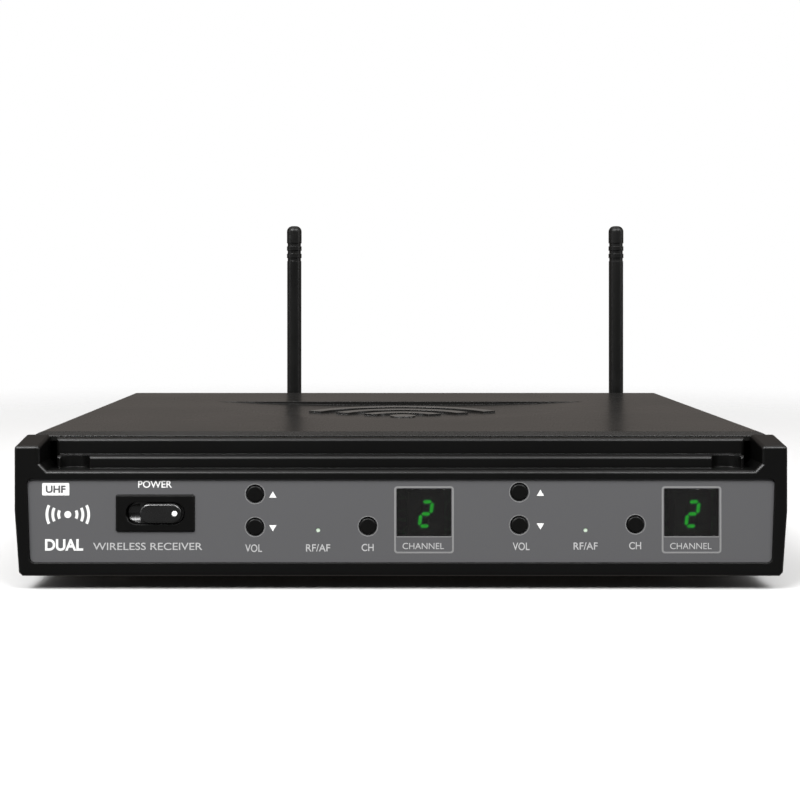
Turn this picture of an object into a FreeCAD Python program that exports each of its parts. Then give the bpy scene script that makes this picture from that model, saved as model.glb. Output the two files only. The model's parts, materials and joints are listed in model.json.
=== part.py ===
import FreeCAD, Part
import os
import Sketcher
from math import pi, radians, tan
from FreeCAD import Placement, Rotation, Vector

# A half-rack wireless microphone receiver with two channels.
#
# Every sub-part is drawn with X to the right, seen from the front, Y going back from the front
# face of the bezel, and Z up from the table. Its Placement then moves it by the same amount, so
# that the origin of the whole unit is on the table, under the middle of the unit's outer box.

# ---------------------------------------------------------------- driving dimensions, millimetres

DIMENSIONS = {
    # Outer box
    "front_reach": 0.6,           # the rocker's paddle, ahead of the bezel
    "rear_reach": 180.0,          # antenna knuckles, behind the bezel's front face
    "bezel_wide": 211.0,
    "case_wide": 209.0,
    "case_front": 12.0,           # where the cover and the tray start
    "case_back": 163.0,           # rear edge of the cover and the tray
    "top_height": 42.0,
    "floor_height": 4.0,          # underside of the tray, which is also the feet's height
    "wall": 2.0,
    "roof": 2.4,                  # thickness of the cover's top
    "split_height": 22.0,         # parting line between the tray and the cover
    "parting_gap": 0.4,
    "tongue_high": 2.0,
    # Front bezel
    "bezel_deep": 11.6,
    "bezel_bottom_wide": 208.6,
    "bezel_taper_height": 22.0,   # the sides are upright above this height
    "bezel_foot_radius": 1.0,
    "horn_front_height": 39.5,
    "horn_back_height": 41.4,
    "horn_gap_wide": 197.0,       # clear width between the two horns
    "shelf_height": 32.8,         # lowest step of the bezel's top
    "shelf_wide": 193.2,
    "low_step_wide": 190.2,
    "low_step_height": 36.2,
    "low_step_depth": 5.0,
    "high_step_wide": 192.4,
    "high_step_height": 40.7,
    "high_step_depth": 9.0,
    "step_round": 1.0,
    "scallop_radius": 4.3,
    "scallop_x": 90.0,
    "scallop_depth": 3.8,         # the scallops' centres, behind the bezel's face
    "bezel_wall_front": 2.0,      # front of the wall behind the face plate
    "bezel_wall_back": 4.0,
    "bezel_hollow_wide": 206.0,
    "bezel_hollow_bottom": 6.5,
    "bezel_hollow_top": 30.4,
    "bezel_lug_x": 80.0,
    "bezel_lug_wide": 10.0,
    "bezel_lug_back": 22.0,
    "bezel_lug_top": 10.0,
    "hook_x": 60.0,
    "hook_back": 20.0,
    "hook_bottom": 36.6,
    "hook_top": 39.5,
    # Face plate
    "plate_top_wide": 204.0,
    "plate_bottom_wide": 202.4,
    "plate_top": 30.6,
    "plate_bottom": 7.7,
    "plate_front": 0.6,
    "plate_thick": 1.4,
    "plate_corner": 1.5,
    "plate_gap": 0.05,
    # Front controls: the same layout twice, one channel_pitch apart
    "channel_pitch": 73.0,
    "volume_pitch": 72.1,         # the second channel's volume buttons are a little closer
    "second_rise": 0.5,           # and all its buttons sit a little higher
    "volume_x": -39.8,
    "volume_up_height": 26.4,
    "volume_down_height": 17.4,
    "lamp_x": -22.6,
    "lamp_height": 16.5,
    "channel_x": -9.0,
    "channel_height": 17.6,
    "window_x": 6.3,
    "window_height": 21.3,
    "window_wide": 14.8,
    "window_high": 12.95,
    "window_front": 0.7,
    "window_thick": 1.4,
    "window_gap": 0.05,
    # Push buttons
    "button_radius": 2.22,
    "button_front": 0.3,
    "button_round": 0.4,
    "button_hole_radius": 2.42,
    "button_ring": 0.2,           # chamfer around each button's hole in the face plate
    "flange_radius": 3.3,
    "flange_front": 4.1,
    "flange_back": 5.0,
    "stem_radius": 1.4,
    "stem_back": 6.6,
    # Signal lamps
    "lamp_hole_radius": 0.6,
    "lamp_nose_radius": 0.55,
    "lamp_radius": 1.5,
    "lamp_pocket_radius": 1.6,
    "lamp_front": 0.8,
    "lamp_shoulder": 2.2,
    # Power switch
    "switch_x": -67.0,
    "switch_height": 21.2,
    "switch_flange_wide": 21.6,
    "switch_flange_high": 10.2,
    "switch_flange_front": 0.1,
    "switch_flange_corner": 0.6,
    "switch_flange_chamfer": 0.4,
    "switch_body_wide": 19.6,
    "switch_body_high": 9.0,
    "switch_body_back": 14.0,
    "switch_gap": 0.1,
    "well_half_wide": 8.1,
    "well_radius": 3.05,
    "well_back": 6.5,
    "rocker_half_wide": 7.7,
    "rocker_radius": 2.95,
    "rocker_pivot_depth": 2.5,
    "rocker_low_front": 1.5,      # the low face ahead of the pivot, beside the paddle
    "rocker_low_end": 0.6,        # and at its far end
    "rocker_skirt": 0.6,
    "rocker_keel": 1.8,
    "paddle_left": 4.2,
    "paddle_right": 7.3,
    "paddle_half_high": 2.75,
    "paddle_corner": 2.7,
    "paddle_front": 3.1,          # face of the paddle ahead of the pivot
    "paddle_round": 0.8,
    "trough_radius": 3.4,
    "trough_deep": 0.8,
    "rocker_pin_radius": 0.9,
    "rocker_pin_hole_radius": 0.95,
    "rocker_pin_reach": 4.2,
    "terminal_wide": 4.8,
    "terminal_thick": 0.8,
    "terminal_long": 6.0,
    "terminal_spacing": 10.0,
    # Front circuit board
    "front_board_left": -50.0,
    "front_board_right": 100.0,
    "front_board_bottom": 10.5,
    "front_board_top": 29.0,
    "front_board_front": 9.5,
    "board_thick": 1.6,
    "front_boss_left": -46.5,
    "front_boss_right": 96.5,
    "front_boss_low": 13.5,
    "front_boss_high": 26.0,
    "boss_radius": 2.5,
    "tact_body": 6.0,
    "tact_front": 6.0,
    "tact_well_radius": 1.75,
    "tact_well_back": 7.6,
    "module_wide": 10.0,
    "module_high": 11.6,
    "module_front": 2.3,
    "digit_x": 6.85,              # digits stand a little right of the window's middle, and lower
    "digit_height": 20.75,
    "segment_deep": 0.6,
    "digit_high": 7.5,
    "digit_wide": 3.6,
    "segment_thick": 0.85,
    "segment_gap": 0.22,
    "segment_fit": 0.02,          # clearance round each segment in its slot
    "digit_slant": 7.0,
    # Screws
    "screw_radius": 1.1,
    "screw_hole_radius": 1.2,
    "screw_head_radius": 2.3,
    "screw_head_high": 1.4,
    "screw_recess_wide": 0.6,
    "screw_recess_long": 2.8,
    "screw_recess_deep": 0.8,
    "clear_hole_radius": 1.5,
    "short_screw": 7.0,
    "long_screw": 18.0,
    # Case fixings and feet
    "case_screw_x": 97.5,
    "case_screw_front": 24.0,
    "case_screw_back": 150.0,
    "case_boss_radius": 3.5,
    "foot_x": 85.0,
    "foot_front": 32.0,
    "foot_back": 146.0,
    "foot_radius": 7.0,
    "foot_top_radius": 6.2,
    # Dish and emblem on the cover
    "cover_side_round": 3.6,
    "front_slope_long": 2.5,
    "back_slope_long": 8.0,
    "slope_high": 1.0,
    "dish_x": 1.5,
    "dish_back": 114.5,
    "dish_radius": 66.0,
    "dish_deep": 1.35,
    "emblem_front": 62.0,
    "emblem_dot_radius": 4.0,
    "emblem_first_radius": 9.5,
    "emblem_pitch": 10.5,
    "emblem_band": 4.6,
    "emblem_spread": 62.0,        # degrees either side of the middle
    "emblem_root": 40.4,
    # Side vents
    "vent_count": 10.0,
    "vent_first": 62.0,
    "vent_pitch": 6.0,
    "vent_wide": 2.2,
    "vent_bottom": 27.0,
    "vent_top": 37.0,
    # Main circuit board
    "board_half_wide": 90.0,
    "board_front": 27.0,
    "board_back": 142.0,
    "board_bottom": 12.0,
    "standoff_x": 84.0,
    "standoff_front": 42.0,
    "standoff_back": 136.0,
    "standoff_radius": 3.0,
    "module_x": 50.0,
    "can_wide": 44.0,
    "can_deep": 38.0,
    "can_high": 9.0,
    "can_wall": 0.5,
    "can_front": 66.0,
    "capacitor_radius": 4.0,
    "capacitor_high": 12.0,
    "capacitor_spacing": 11.0,
    "capacitor_x": -80.0,
    "capacitor_front": 108.0,
    "chip_wide": 10.0,
    "chip_deep": 6.4,
    "chip_high": 2.6,
    "chip_spacing": 16.0,
    "chip_front": 114.0,
    "crystal_wide": 11.0,
    "crystal_deep": 4.6,
    "crystal_high": 3.6,
    "crystal_front": 54.0,
    "regulator_x": -81.0,
    "regulator_front": 92.0,
    "regulator_wide": 10.0,
    "regulator_deep": 4.5,
    "regulator_high": 15.0,
    "sink_wide": 17.0,
    "sink_high": 18.0,
    "sink_base": 1.6,
    "sink_fin_deep": 7.0,
    "sink_fin_count": 4.0,
    "header_wide": 22.0,
    "header_deep": 5.0,
    "header_high": 5.4,
    "header_x": 26.0,
    "front_header_bottom": 15.0,
    "front_header_back": 14.5,
    "main_header_front": 34.0,
    "ribbon_wide": 19.0,
    "ribbon_thick": 0.9,
    "ribbon_bend": 2.5,
    "lead_radius": 0.8,
    "lead_bend": 1.4,
    "coax_radius": 0.9,
    "coax_bend": 4.0,
    "coax_gap": 0.4,              # between a coaxial lead and the turning end of its spindle
    "power_header_x": -67.0,
    "power_header_wide": 16.0,
    # Rear panel and its sockets
    "panel_front": 159.0,
    "panel_back": 161.0,
    "socket_height": 23.0,
    "output_a_x": -12.0,
    "output_b_x": 18.0,
    "output_flange_wide": 26.0,
    "output_flange_high": 31.0,
    "output_flange_round": 3.0,
    "output_shell_radius": 11.8,
    "output_shell_front": 143.0,
    "output_bore_radius": 9.6,
    "output_insert_back": 148.0,
    "output_panel_radius": 11.9,
    "output_pin_radius": 1.2,
    "output_pin_hole_radius": 1.25,
    "output_pin_circle": 4.8,
    "output_pin_front": 139.0,
    "output_pin_back": 160.0,
    "output_screw_x": 9.5,
    "output_screw_z": 12.0,
    "key_wide": 3.0,
    "key_high": 1.2,
    "key_front": 149.0,
    "key_back": 160.5,
    "mix_x": 50.0,
    "mix_body_wide": 16.0,
    "mix_body_high": 18.0,
    "mix_body_front": 131.0,
    "mix_bore_radius": 3.2,
    "mix_bore_front": 134.0,
    "mix_thread_radius": 4.75,
    "mix_mouth": 166.0,
    "mix_nut_back": 163.4,
    "mix_nut_corner": 8.1,
    "thread_gap": 0.05,
    "inlet_x": -88.0,
    "inlet_height": 20.5,
    "inlet_wide": 9.0,
    "inlet_high": 11.0,
    "inlet_front": 144.5,
    "inlet_back": 158.9,
    "inlet_bore_radius": 3.0,
    "inlet_bore_front": 149.0,
    "inlet_pin_radius": 1.05,
    "inlet_pin_back": 158.4,
    "inlet_hole_radius": 3.6,
    "squelch_x": -68.0,
    "squelch_spacing": 12.0,
    "squelch_body_wide": 9.6,
    "squelch_body_high": 10.5,
    "squelch_body_front": 151.0,
    "squelch_body_back": 158.9,
    "squelch_shaft_radius": 2.9,
    "squelch_shaft_front": 154.0,
    "squelch_shaft_back": 164.5,
    "squelch_slot_wide": 0.8,
    "squelch_slot_deep": 1.6,
    "squelch_hole_radius": 3.3,
    "running_gap": 0.05,
    # Antennas
    "antenna_a_x": -41.0,
    "antenna_b_x": 90.3,
    "antenna_height": 24.0,       # swivel axis above the table
    "pivot_depth": 175.0,
    "bushing_front": 157.4,
    "bushing_back": 163.4,
    "bushing_flange_radius": 6.5,
    "bushing_radius": 4.0,
    "bushing_hole_radius": 4.1,
    "spindle_radius": 2.5,
    "spindle_head_radius": 3.2,
    "spindle_head_front": 155.9,
    "spindle_head_back": 157.3,
    "antenna_nut_back": 163.2,
    "antenna_nut_corner": 6.35,
    "elbow_front": 163.7,
    "elbow_shoulder": 168.8,
    "elbow_radius": 6.6,
    "ear_inner": 2.4,
    "ear_outer": 4.9,
    "ear_radius": 5.0,
    "hinge_hole_radius": 1.2,
    "hinge_pin_radius": 1.18,
    "whip_tongue_thick": 4.6,
    "whip_tongue_radius": 3.6,
    "whip_root": 5.6,             # where the round rod starts, above the hinge
    "whip_shoulder_long": 2.5,
    "whip_radius": 2.9,
    "whip_cap_radius": 3.0,
    "whip_neck_radius": 2.72,
    "whip_tip_height": 108.5,
    "whip_cap_long": 7.0,
    "whip_ring_pitch": 3.0,
    "whip_ring_long": 1.7,
    "whip_ring_count": 2.0,
    "whip_tip_round": 2.3,
}

doc = FreeCAD.newDocument("wireless_receiver")
dims = doc.addObject("Spreadsheet::Sheet", "dims")
for row, (alias, size) in enumerate(DIMENSIONS.items(), start=1):
    dims.set(f"A{row}", alias)
    dims.set(f"B{row}", str(size))
    dims.setAlias(f"B{row}", alias)
doc.recompute()

BEYOND = 5                                             # how far a cutting tool sticks out of its target
SHIFT = "(dims.front_reach - dims.rear_reach) / 2"     # bench frame to the unit's own frame, along Y
ALONG_Y = Rotation(Vector(1, 0, 0), -90)               # turns a primitive's Z axis to Y
ALONG_X = Rotation(Vector(0, 1, 0), 90)                # turns a primitive's Z axis to X
CHANNELS = {"a": "0", "b": "dims.channel_pitch"}       # how far each channel's controls are moved
VOLUME_PAIRS = {"a": "0", "b": "dims.volume_pitch"}
RISES = {"a": "0", "b": "dims.second_rise"}
ORIGIN = ("0", "0", "0")
sub_parts = []


# ---------------------------------------------------------------- drawing helpers

def size_of(expression):
    """The value, in millimetres, of an expression on the sheet."""
    return float(dims.evalExpression(expression))


def bind(item, **expressions):
    """Bind properties of an object to expressions on the sheet."""
    for name, expression in expressions.items():
        item.setExpression(name, expression)
    return item


def move(item, x="0", y="0", z="0", rotation=None):
    """Place an object, each coordinate bound to an expression."""
    if rotation is not None:
        item.Placement = Placement(Vector(), rotation)
    for axis, expression in zip("xyz", (x, y, z)):
        item.setExpression(f"Placement.Base.{axis}", expression)
    return item


def sub_part(item, label, x="0", y="0", z="0"):
    """Name a finished sub-part and place it in the unit's own frame."""
    item.Label = label
    move(item, x, f"{SHIFT} + {y}", z)
    sub_parts.append(item)
    return item


def box(name, corner, size):
    """A block with its lowest corner and its three sizes given as expressions."""
    block = doc.addObject("Part::Box", name)
    bind(block, Length=size[0], Width=size[1], Height=size[2])
    return move(block, *corner)


def cylinder(name, centre, radius, length, rotation=None):
    """A cylinder that starts at centre and runs along Z, or along another axis if it is turned."""
    rod = doc.addObject("Part::Cylinder", name)
    bind(rod, Radius=radius, Height=length)
    return move(rod, *centre, rotation=rotation)


def hexagon(name, centre, corner_radius, length):
    """A hexagonal bar that starts at centre and runs back along Y."""
    bar = doc.addObject("Part::Prism", name)
    bar.Polygon = 6
    bind(bar, Circumradius=corner_radius, Height=length)
    return move(bar, *centre, rotation=ALONG_Y)


def fuse(name, pieces):
    """Several overlapping pieces joined into one."""
    joined = doc.addObject("Part::MultiFuse", name)
    joined.Shapes = pieces
    return joined


def cut(name, base, tools):
    """A base with one or more tools cut out of it."""
    result = doc.addObject("Part::Cut", name)
    result.Base = base
    result.Tool = tools[0] if len(tools) == 1 else fuse(f"{name}_tools", tools)
    return result


def common(name, pieces):
    """What several pieces share."""
    shared = doc.addObject("Part::MultiCommon", name)
    shared.Shapes = pieces
    return shared


def group(name, pieces):
    """Separate solids kept together as one sub-part."""
    collection = doc.addObject("Part::Compound", name)
    collection.Links = pieces
    return collection


def new_body(name):
    """An empty PartDesign body."""
    return doc.addObject("PartDesign::Body", name)


def new_sketch(body, role, offset="0"):
    """A sketch on one of the body's own origin planes, moved along the plane's normal."""
    plane = next(item for item in body.Origin.OriginFeatures if item.Role == role)
    sketch = body.newObject("Sketcher::SketchObject", f"{body.Name}_sketch")
    sketch.AttachmentSupport = (plane, [""])
    sketch.MapMode = "FlatFace"
    sketch.setExpression("AttachmentOffset.Base.z", offset)
    return sketch


def front_sketch(body, depth="0"):
    """A sketch seen from the front, X across and Z up, at a depth behind the bezel's face."""
    return new_sketch(body, "XZ_Plane", f"-({depth})")


def fix_point(sketch, edge, end, point):
    """Hold one point of a sketch edge at a place given by two expressions."""
    for kind, expression in zip(("DistanceX", "DistanceY"), point):
        held = sketch.addConstraint(Sketcher.Constraint(kind, edge, end, size_of(expression)))
        sketch.setExpression(f"Constraints[{held}]", expression)


def draw_polygon(sketch, points):
    """A closed outline through points, each a pair of expressions."""
    places = [Vector(size_of(across), size_of(up), 0) for across, up in points]
    first = len(sketch.Geometry)
    count = len(points)
    for number, place in enumerate(places):
        sketch.addGeometry(Part.LineSegment(place, places[(number + 1) % count]))
    for number, point in enumerate(points):
        following = first + (number + 1) % count
        sketch.addConstraint(Sketcher.Constraint("Coincident", first + number, 2, following, 1))
        fix_point(sketch, first + number, 1, point)


def draw_rectangle(sketch, left, bottom, right, top):
    """An upright rectangle between four expressions."""
    draw_polygon(sketch, [(left, bottom), (right, bottom), (right, top), (left, top)])


def draw_circle(sketch, across, up, radius):
    """A circle whose centre and radius are expressions."""
    centre = Vector(size_of(across), size_of(up), 0)
    edge = sketch.addGeometry(Part.Circle(centre, Vector(0, 0, 1), size_of(radius)))
    fix_point(sketch, edge, 3, (across, up))
    held = sketch.addConstraint(Sketcher.Constraint("Radius", edge, size_of(radius)))
    sketch.setExpression(f"Constraints[{held}]", radius)


def mirrored(points):
    """A closed outline from its right half, listed from one end of the middle line to the other."""
    return points + [(f"-({across})", up) for across, up in reversed(points)]


def pad(body, sketch, length, backward=True):
    """Raise a sketch into the body; backward means along +Y on a front sketch."""
    feature = body.newObject("PartDesign::Pad", f"{body.Name}_pad")
    feature.Profile = sketch
    feature.Reversed = backward
    feature.setExpression("Length", length)
    doc.recompute()
    return feature


def pocket(body, sketch, length=None, forward=False):
    """Cut a sketch out of the body, and make sure that it did cut; no length means right through."""
    volume = body.Shape.Volume
    feature = body.newObject("PartDesign::Pocket", f"{body.Name}_pocket")
    feature.Profile = sketch
    feature.Reversed = forward
    if length is None:
        feature.Type = "ThroughAll"
        feature.Midplane = True
    else:
        feature.setExpression("Length", length)
    doc.recompute()
    if body.Shape.Volume > volume - 0.001:
        raise RuntimeError(f"a pocket in {body.Name} cuts nothing")
    return feature


def edges_of(body, wanted):
    """The names of a body's edges that a test picks."""
    return [f"Edge{number}" for number, edge in enumerate(body.Shape.Edges, start=1) if wanted(edge)]


def round_edges(body, radius, wanted, kind="Fillet"):
    """Round, or chamfer, the edges of a body that a test picks, and make sure that it worked."""
    base = body.Tip
    names = edges_of(body, wanted)
    feature = body.newObject(f"PartDesign::{kind}", f"{body.Name}_{kind.lower()}")
    feature.Base = (base, names)
    feature.setExpression("Radius" if kind == "Fillet" else "Size", radius)
    doc.recompute()
    if not feature.isValid():
        raise RuntimeError(f"a {kind.lower()} in {body.Name} failed on {names}")
    return feature


def turned(name, profile, role="XZ_Plane"):
    """A body of revolution about Z, or about Y on the XY plane; profile is (radius, place) pairs."""
    body = new_body(name)
    sketch = new_sketch(body, role)
    draw_polygon(sketch, profile)
    revolution = body.newObject("PartDesign::Revolution", f"{name}_turn")
    revolution.Profile = sketch
    revolution.ReferenceAxis = (sketch, ["V_Axis"])
    revolution.Angle = 360
    return body


def runs_along(edge, direction):
    """Whether an edge is straight and points along a direction."""
    if len(edge.Vertexes) != 2:
        return False
    span = edge.Vertexes[1].Point - edge.Vertexes[0].Point
    return abs(abs(span.dot(direction)) - edge.Length) < 0.001


def lies_at(edge, axis, place, slack=0.01):
    """Whether all of an edge lies at one coordinate, given as an expression."""
    wanted = size_of(place)
    return all(abs(getattr(vertex.Point, axis) - wanted) < slack for vertex in edge.Vertexes)


def bent_wire(corners, bend):
    """Straight runs between corners, with an arc of one radius at each bend."""
    start = corners[0]
    edges = []
    for before, corner, after in zip(corners, corners[1:], corners[2:]):
        arriving = (corner - before).normalize()
        leaving = (after - corner).normalize()
        turn = arriving.getAngle(leaving)
        reach = bend * tan(turn / 2)
        arc_start = corner - arriving * reach
        arc_end = corner + leaving * reach
        inward = (leaving - arriving).normalize()
        centre_distance = (bend ** 2 + reach ** 2) ** 0.5
        arc_middle = corner + inward * (centre_distance - bend)
        edges.append(Part.LineSegment(start, arc_start).toShape())
        edges.append(Part.Arc(arc_start, arc_middle, arc_end).toShape())
        start = arc_end
    edges.append(Part.LineSegment(start, corners[-1]).toShape())
    return Part.Wire(edges)


def swept(name, profile, path):
    """A sub-part made by sweeping a closed profile along a path."""
    feature = doc.addObject("Part::Feature", name)
    feature.Shape = Part.Wire(path).makePipeShell([profile], True, False)
    return feature


def round_lead(name, corners, radius, bend):
    """A round wire along a route of corners, each three expressions."""
    route = [Vector(*(size_of(place) for place in corner)) for corner in corners]
    profile = Part.Wire(Part.Circle(route[0], route[1] - route[0], size_of(radius)).toShape())
    return swept(name, profile, bent_wire(route, size_of(bend)))


def screw(name, centre, rotation, length):
    """A cross-head screw: the head's top is at centre, and the shank runs along the turned Z."""
    head = cylinder(f"{name}_head", ORIGIN, "dims.screw_head_radius", "dims.screw_head_high")
    shank = cylinder(f"{name}_shank", ORIGIN, "dims.screw_radius", length)
    long, wide = "dims.screw_recess_long", "dims.screw_recess_wide"
    slots = [
        box(f"{name}_slot_{number}", (f"-{across} / 2", f"-{along} / 2", "0"),
            (across, along, "dims.screw_recess_deep"))
        for number, (across, along) in enumerate([(long, wide), (wide, long)])
    ]
    whole = cut(name, fuse(f"{name}_blank", [head, shank]), slots)
    return move(whole, *centre, rotation=rotation)


def control_places():
    """Name, X and height of each push button, for both channels."""
    return [
        (f"{kind}_button_{channel}", f"{x} + {moved[channel]}", f"{height} + {RISES[channel]}")
        for channel in CHANNELS
        for kind, x, height, moved in (
            ("volume_up", "dims.volume_x", "dims.volume_up_height", VOLUME_PAIRS),
            ("volume_down", "dims.volume_x", "dims.volume_down_height", VOLUME_PAIRS),
            ("channel", "dims.channel_x", "dims.channel_height", CHANNELS),
        )
    ]


# ---------------------------------------------------------------- front bezel and face plate

def bezel_outline(body):
    """The solid block that the bezel is cut from, with its sides drawn in towards the bottom."""
    sketch = front_sketch(body)
    draw_polygon(sketch, mirrored([
        ("dims.bezel_bottom_wide / 2 - dims.bezel_foot_radius", "dims.floor_height"),
        ("dims.bezel_bottom_wide / 2", "dims.floor_height + dims.bezel_foot_radius"),
        ("dims.bezel_wide / 2", "dims.bezel_taper_height"),
        ("dims.bezel_wide / 2", f"dims.top_height + {BEYOND}"),
    ]))
    pad(body, sketch, "dims.bezel_deep")


def bezel_top(body):
    """The sloping horns, the shelf between them, and the two steps that stand on the shelf."""
    slope = new_sketch(body, "YZ_Plane")
    rise = "(dims.horn_back_height - dims.horn_front_height) / dims.bezel_deep"
    draw_polygon(slope, [
        (f"-{BEYOND}", f"dims.horn_front_height - {BEYOND} * {rise}"),
        (f"dims.bezel_deep + {BEYOND}", f"dims.horn_back_height + {BEYOND} * {rise}"),
        (f"dims.bezel_deep + {BEYOND}", f"dims.top_height + {BEYOND} * 2"),
        (f"-{BEYOND}", f"dims.top_height + {BEYOND} * 2"),
    ])
    pocket(body, slope)

    shelf = front_sketch(body)
    corner = "(dims.horn_gap_wide - dims.shelf_wide) / 2"
    draw_polygon(shelf, mirrored([
        ("dims.shelf_wide / 2", "dims.shelf_height"),
        ("dims.horn_gap_wide / 2", f"dims.shelf_height + {corner}"),
        ("dims.horn_gap_wide / 2", f"dims.top_height + {BEYOND}"),
    ]))
    pocket(body, shelf)
    round_edges(body, "dims.step_round", is_horn_edge)

    for step in ("low_step", "high_step"):
        block = front_sketch(body, f"dims.{step}_depth")
        draw_rectangle(block, f"-dims.{step}_wide / 2", "dims.shelf_height - 1",
                       f"dims.{step}_wide / 2", f"dims.{step}_height")
        pad(body, block, f"dims.bezel_deep - dims.{step}_depth")
    round_edges(body, "dims.step_round", is_step_edge)

    scallops = new_sketch(body, "XY_Plane", "dims.low_step_height")
    for side in ("-", ""):
        draw_circle(scallops, f"{side}dims.scallop_x", "dims.scallop_depth", "dims.scallop_radius")
    pocket(body, scallops, "dims.low_step_height - dims.shelf_height")


def is_horn_edge(edge):
    """Edges of the front face's outline, and the top edges on both sides of each horn."""
    half_widths = ("dims.bezel_wide / 2", "dims.horn_gap_wide / 2")
    on_side = any(lies_at(edge, "x", f"{side}{half}") for half in half_widths for side in ("", "-"))
    return lies_at(edge, "y", "0") or (on_side and edge.BoundBox.ZMin > size_of("dims.low_step_height"))


def is_step_edge(edge):
    """The front top edge and the front upright edges of both steps."""
    for step in ("low_step", "high_step"):
        on_face = lies_at(edge, "y", f"dims.{step}_depth")
        if on_face and edge.BoundBox.ZMax > size_of(f"dims.{step}_height") - 0.01:
            return edge.BoundBox.XLength > 1 or runs_along(edge, Vector(0, 0, 1))
    return False


def bezel_hollows(body):
    """The space behind the front wall, and the shallower one inside the steps."""
    main = front_sketch(body, "dims.bezel_deep")
    draw_rectangle(main, "-dims.bezel_hollow_wide / 2", "dims.bezel_hollow_bottom",
                   "dims.bezel_hollow_wide / 2", "dims.bezel_hollow_top")
    pocket(body, main, "dims.bezel_deep - dims.bezel_wall_back", forward=True)

    upper = front_sketch(body, "dims.bezel_deep")
    reach = "dims.scallop_x - dims.scallop_radius - dims.wall"
    draw_rectangle(upper, f"-({reach})", "dims.bezel_hollow_top - 1", reach,
                   "dims.low_step_height - dims.wall")
    pocket(body, upper, "dims.bezel_deep - dims.low_step_depth - dims.wall", forward=True)


def plate_outline(sketch, gap):
    """The face plate's four-sided outline, with a gap all round."""
    draw_polygon(sketch, mirrored([
        (f"dims.plate_bottom_wide / 2 + {gap}", f"dims.plate_bottom - {gap}"),
        (f"dims.plate_top_wide / 2 + {gap}", f"dims.plate_top + {gap}"),
    ]))


def bezel_openings(body):
    """The recess for the face plate, and the holes in the wall behind it."""
    recess = front_sketch(body)
    plate_outline(recess, "dims.plate_gap")
    pocket(body, recess, "dims.bezel_wall_front")
    round_edges(body, "dims.plate_corner", is_recess_corner)

    openings = front_sketch(body, "dims.bezel_wall_front")
    draw_rectangle(
        openings,
        "dims.switch_x - dims.switch_body_wide / 2 - dims.switch_gap",
        "dims.switch_height - dims.switch_body_high / 2 - dims.switch_gap",
        "dims.switch_x + dims.switch_body_wide / 2 + dims.switch_gap",
        "dims.switch_height + dims.switch_body_high / 2 + dims.switch_gap")
    for _, x, height in control_places():
        draw_circle(openings, x, height, "dims.button_hole_radius")
    for moved in CHANNELS.values():
        draw_circle(openings, f"dims.lamp_x + {moved}", "dims.lamp_height", "dims.lamp_pocket_radius")
        window_outline(openings, moved)
    pocket(body, openings, "dims.bezel_wall_back - dims.bezel_wall_front")


def is_recess_corner(edge):
    """The four short edges at the corners of the face plate's recess."""
    return (runs_along(edge, Vector(0, 1, 0)) and lies_at_depth(edge, "0", "dims.bezel_wall_front")
            and size_of("dims.plate_bottom") - 1 < edge.BoundBox.ZMin < size_of("dims.plate_top") + 1)


def lies_at_depth(edge, front, back):
    """Whether an edge runs exactly from one depth to another."""
    return (abs(edge.BoundBox.YMin - size_of(front)) < 0.01
            and abs(edge.BoundBox.YMax - size_of(back)) < 0.01)


def window_outline(sketch, moved):
    """A display window's opening, a gap larger than the window."""
    draw_rectangle(
        sketch,
        f"dims.window_x + {moved} - dims.window_wide / 2 - dims.window_gap",
        "dims.window_height - dims.window_high / 2 - dims.window_gap",
        f"dims.window_x + {moved} + dims.window_wide / 2 + dims.window_gap",
        "dims.window_height + dims.window_high / 2 + dims.window_gap")


def bezel_fixings(body):
    """Bosses for the front board, lugs that screw to the tray, and hooks under the cover."""
    bosses = front_sketch(body, "dims.bezel_wall_back")
    holes = front_sketch(body, "dims.front_board_front")
    for x in ("dims.front_boss_left", "dims.front_boss_right"):
        for height in ("dims.front_boss_low", "dims.front_boss_high"):
            draw_circle(bosses, x, height, "dims.boss_radius")
            draw_circle(holes, x, height, "dims.screw_hole_radius")
    pad(body, bosses, "dims.front_board_front - dims.bezel_wall_back")
    pocket(body, holes, "dims.front_board_front - dims.bezel_wall_back", forward=True)

    lugs = front_sketch(body, "dims.bezel_wall_back - dims.wall / 4")
    hooks = front_sketch(body, "dims.high_step_depth + dims.wall / 4")
    half_lug = "dims.bezel_lug_wide / 2"
    for side in ("-", ""):
        draw_rectangle(lugs, f"{side}dims.bezel_lug_x - {half_lug}", "dims.floor_height + dims.wall",
                       f"{side}dims.bezel_lug_x + {half_lug}", "dims.bezel_lug_top")
        draw_rectangle(hooks, f"{side}dims.hook_x - {half_lug}", "dims.hook_bottom",
                       f"{side}dims.hook_x + {half_lug}", "dims.hook_top")
    pad(body, lugs, "dims.bezel_lug_back - dims.bezel_wall_back + dims.wall / 4")
    pad(body, hooks, "dims.hook_back - dims.high_step_depth - dims.wall / 4")

    lug_holes = new_sketch(body, "XY_Plane", "dims.bezel_lug_top")
    for side in ("-", ""):
        draw_circle(lug_holes, f"{side}dims.bezel_lug_x", "(dims.case_front + dims.bezel_lug_back) / 2",
                    "dims.screw_hole_radius")
    pocket(body, lug_holes, "dims.bezel_lug_top - dims.floor_height - dims.wall")


def make_front_bezel():
    """The black moulding that frames the face plate."""
    body = new_body("front_bezel")
    bezel_outline(body)
    bezel_top(body)
    bezel_hollows(body)
    bezel_openings(body)
    bezel_fixings(body)
    sub_part(body, "front_bezel")


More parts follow.
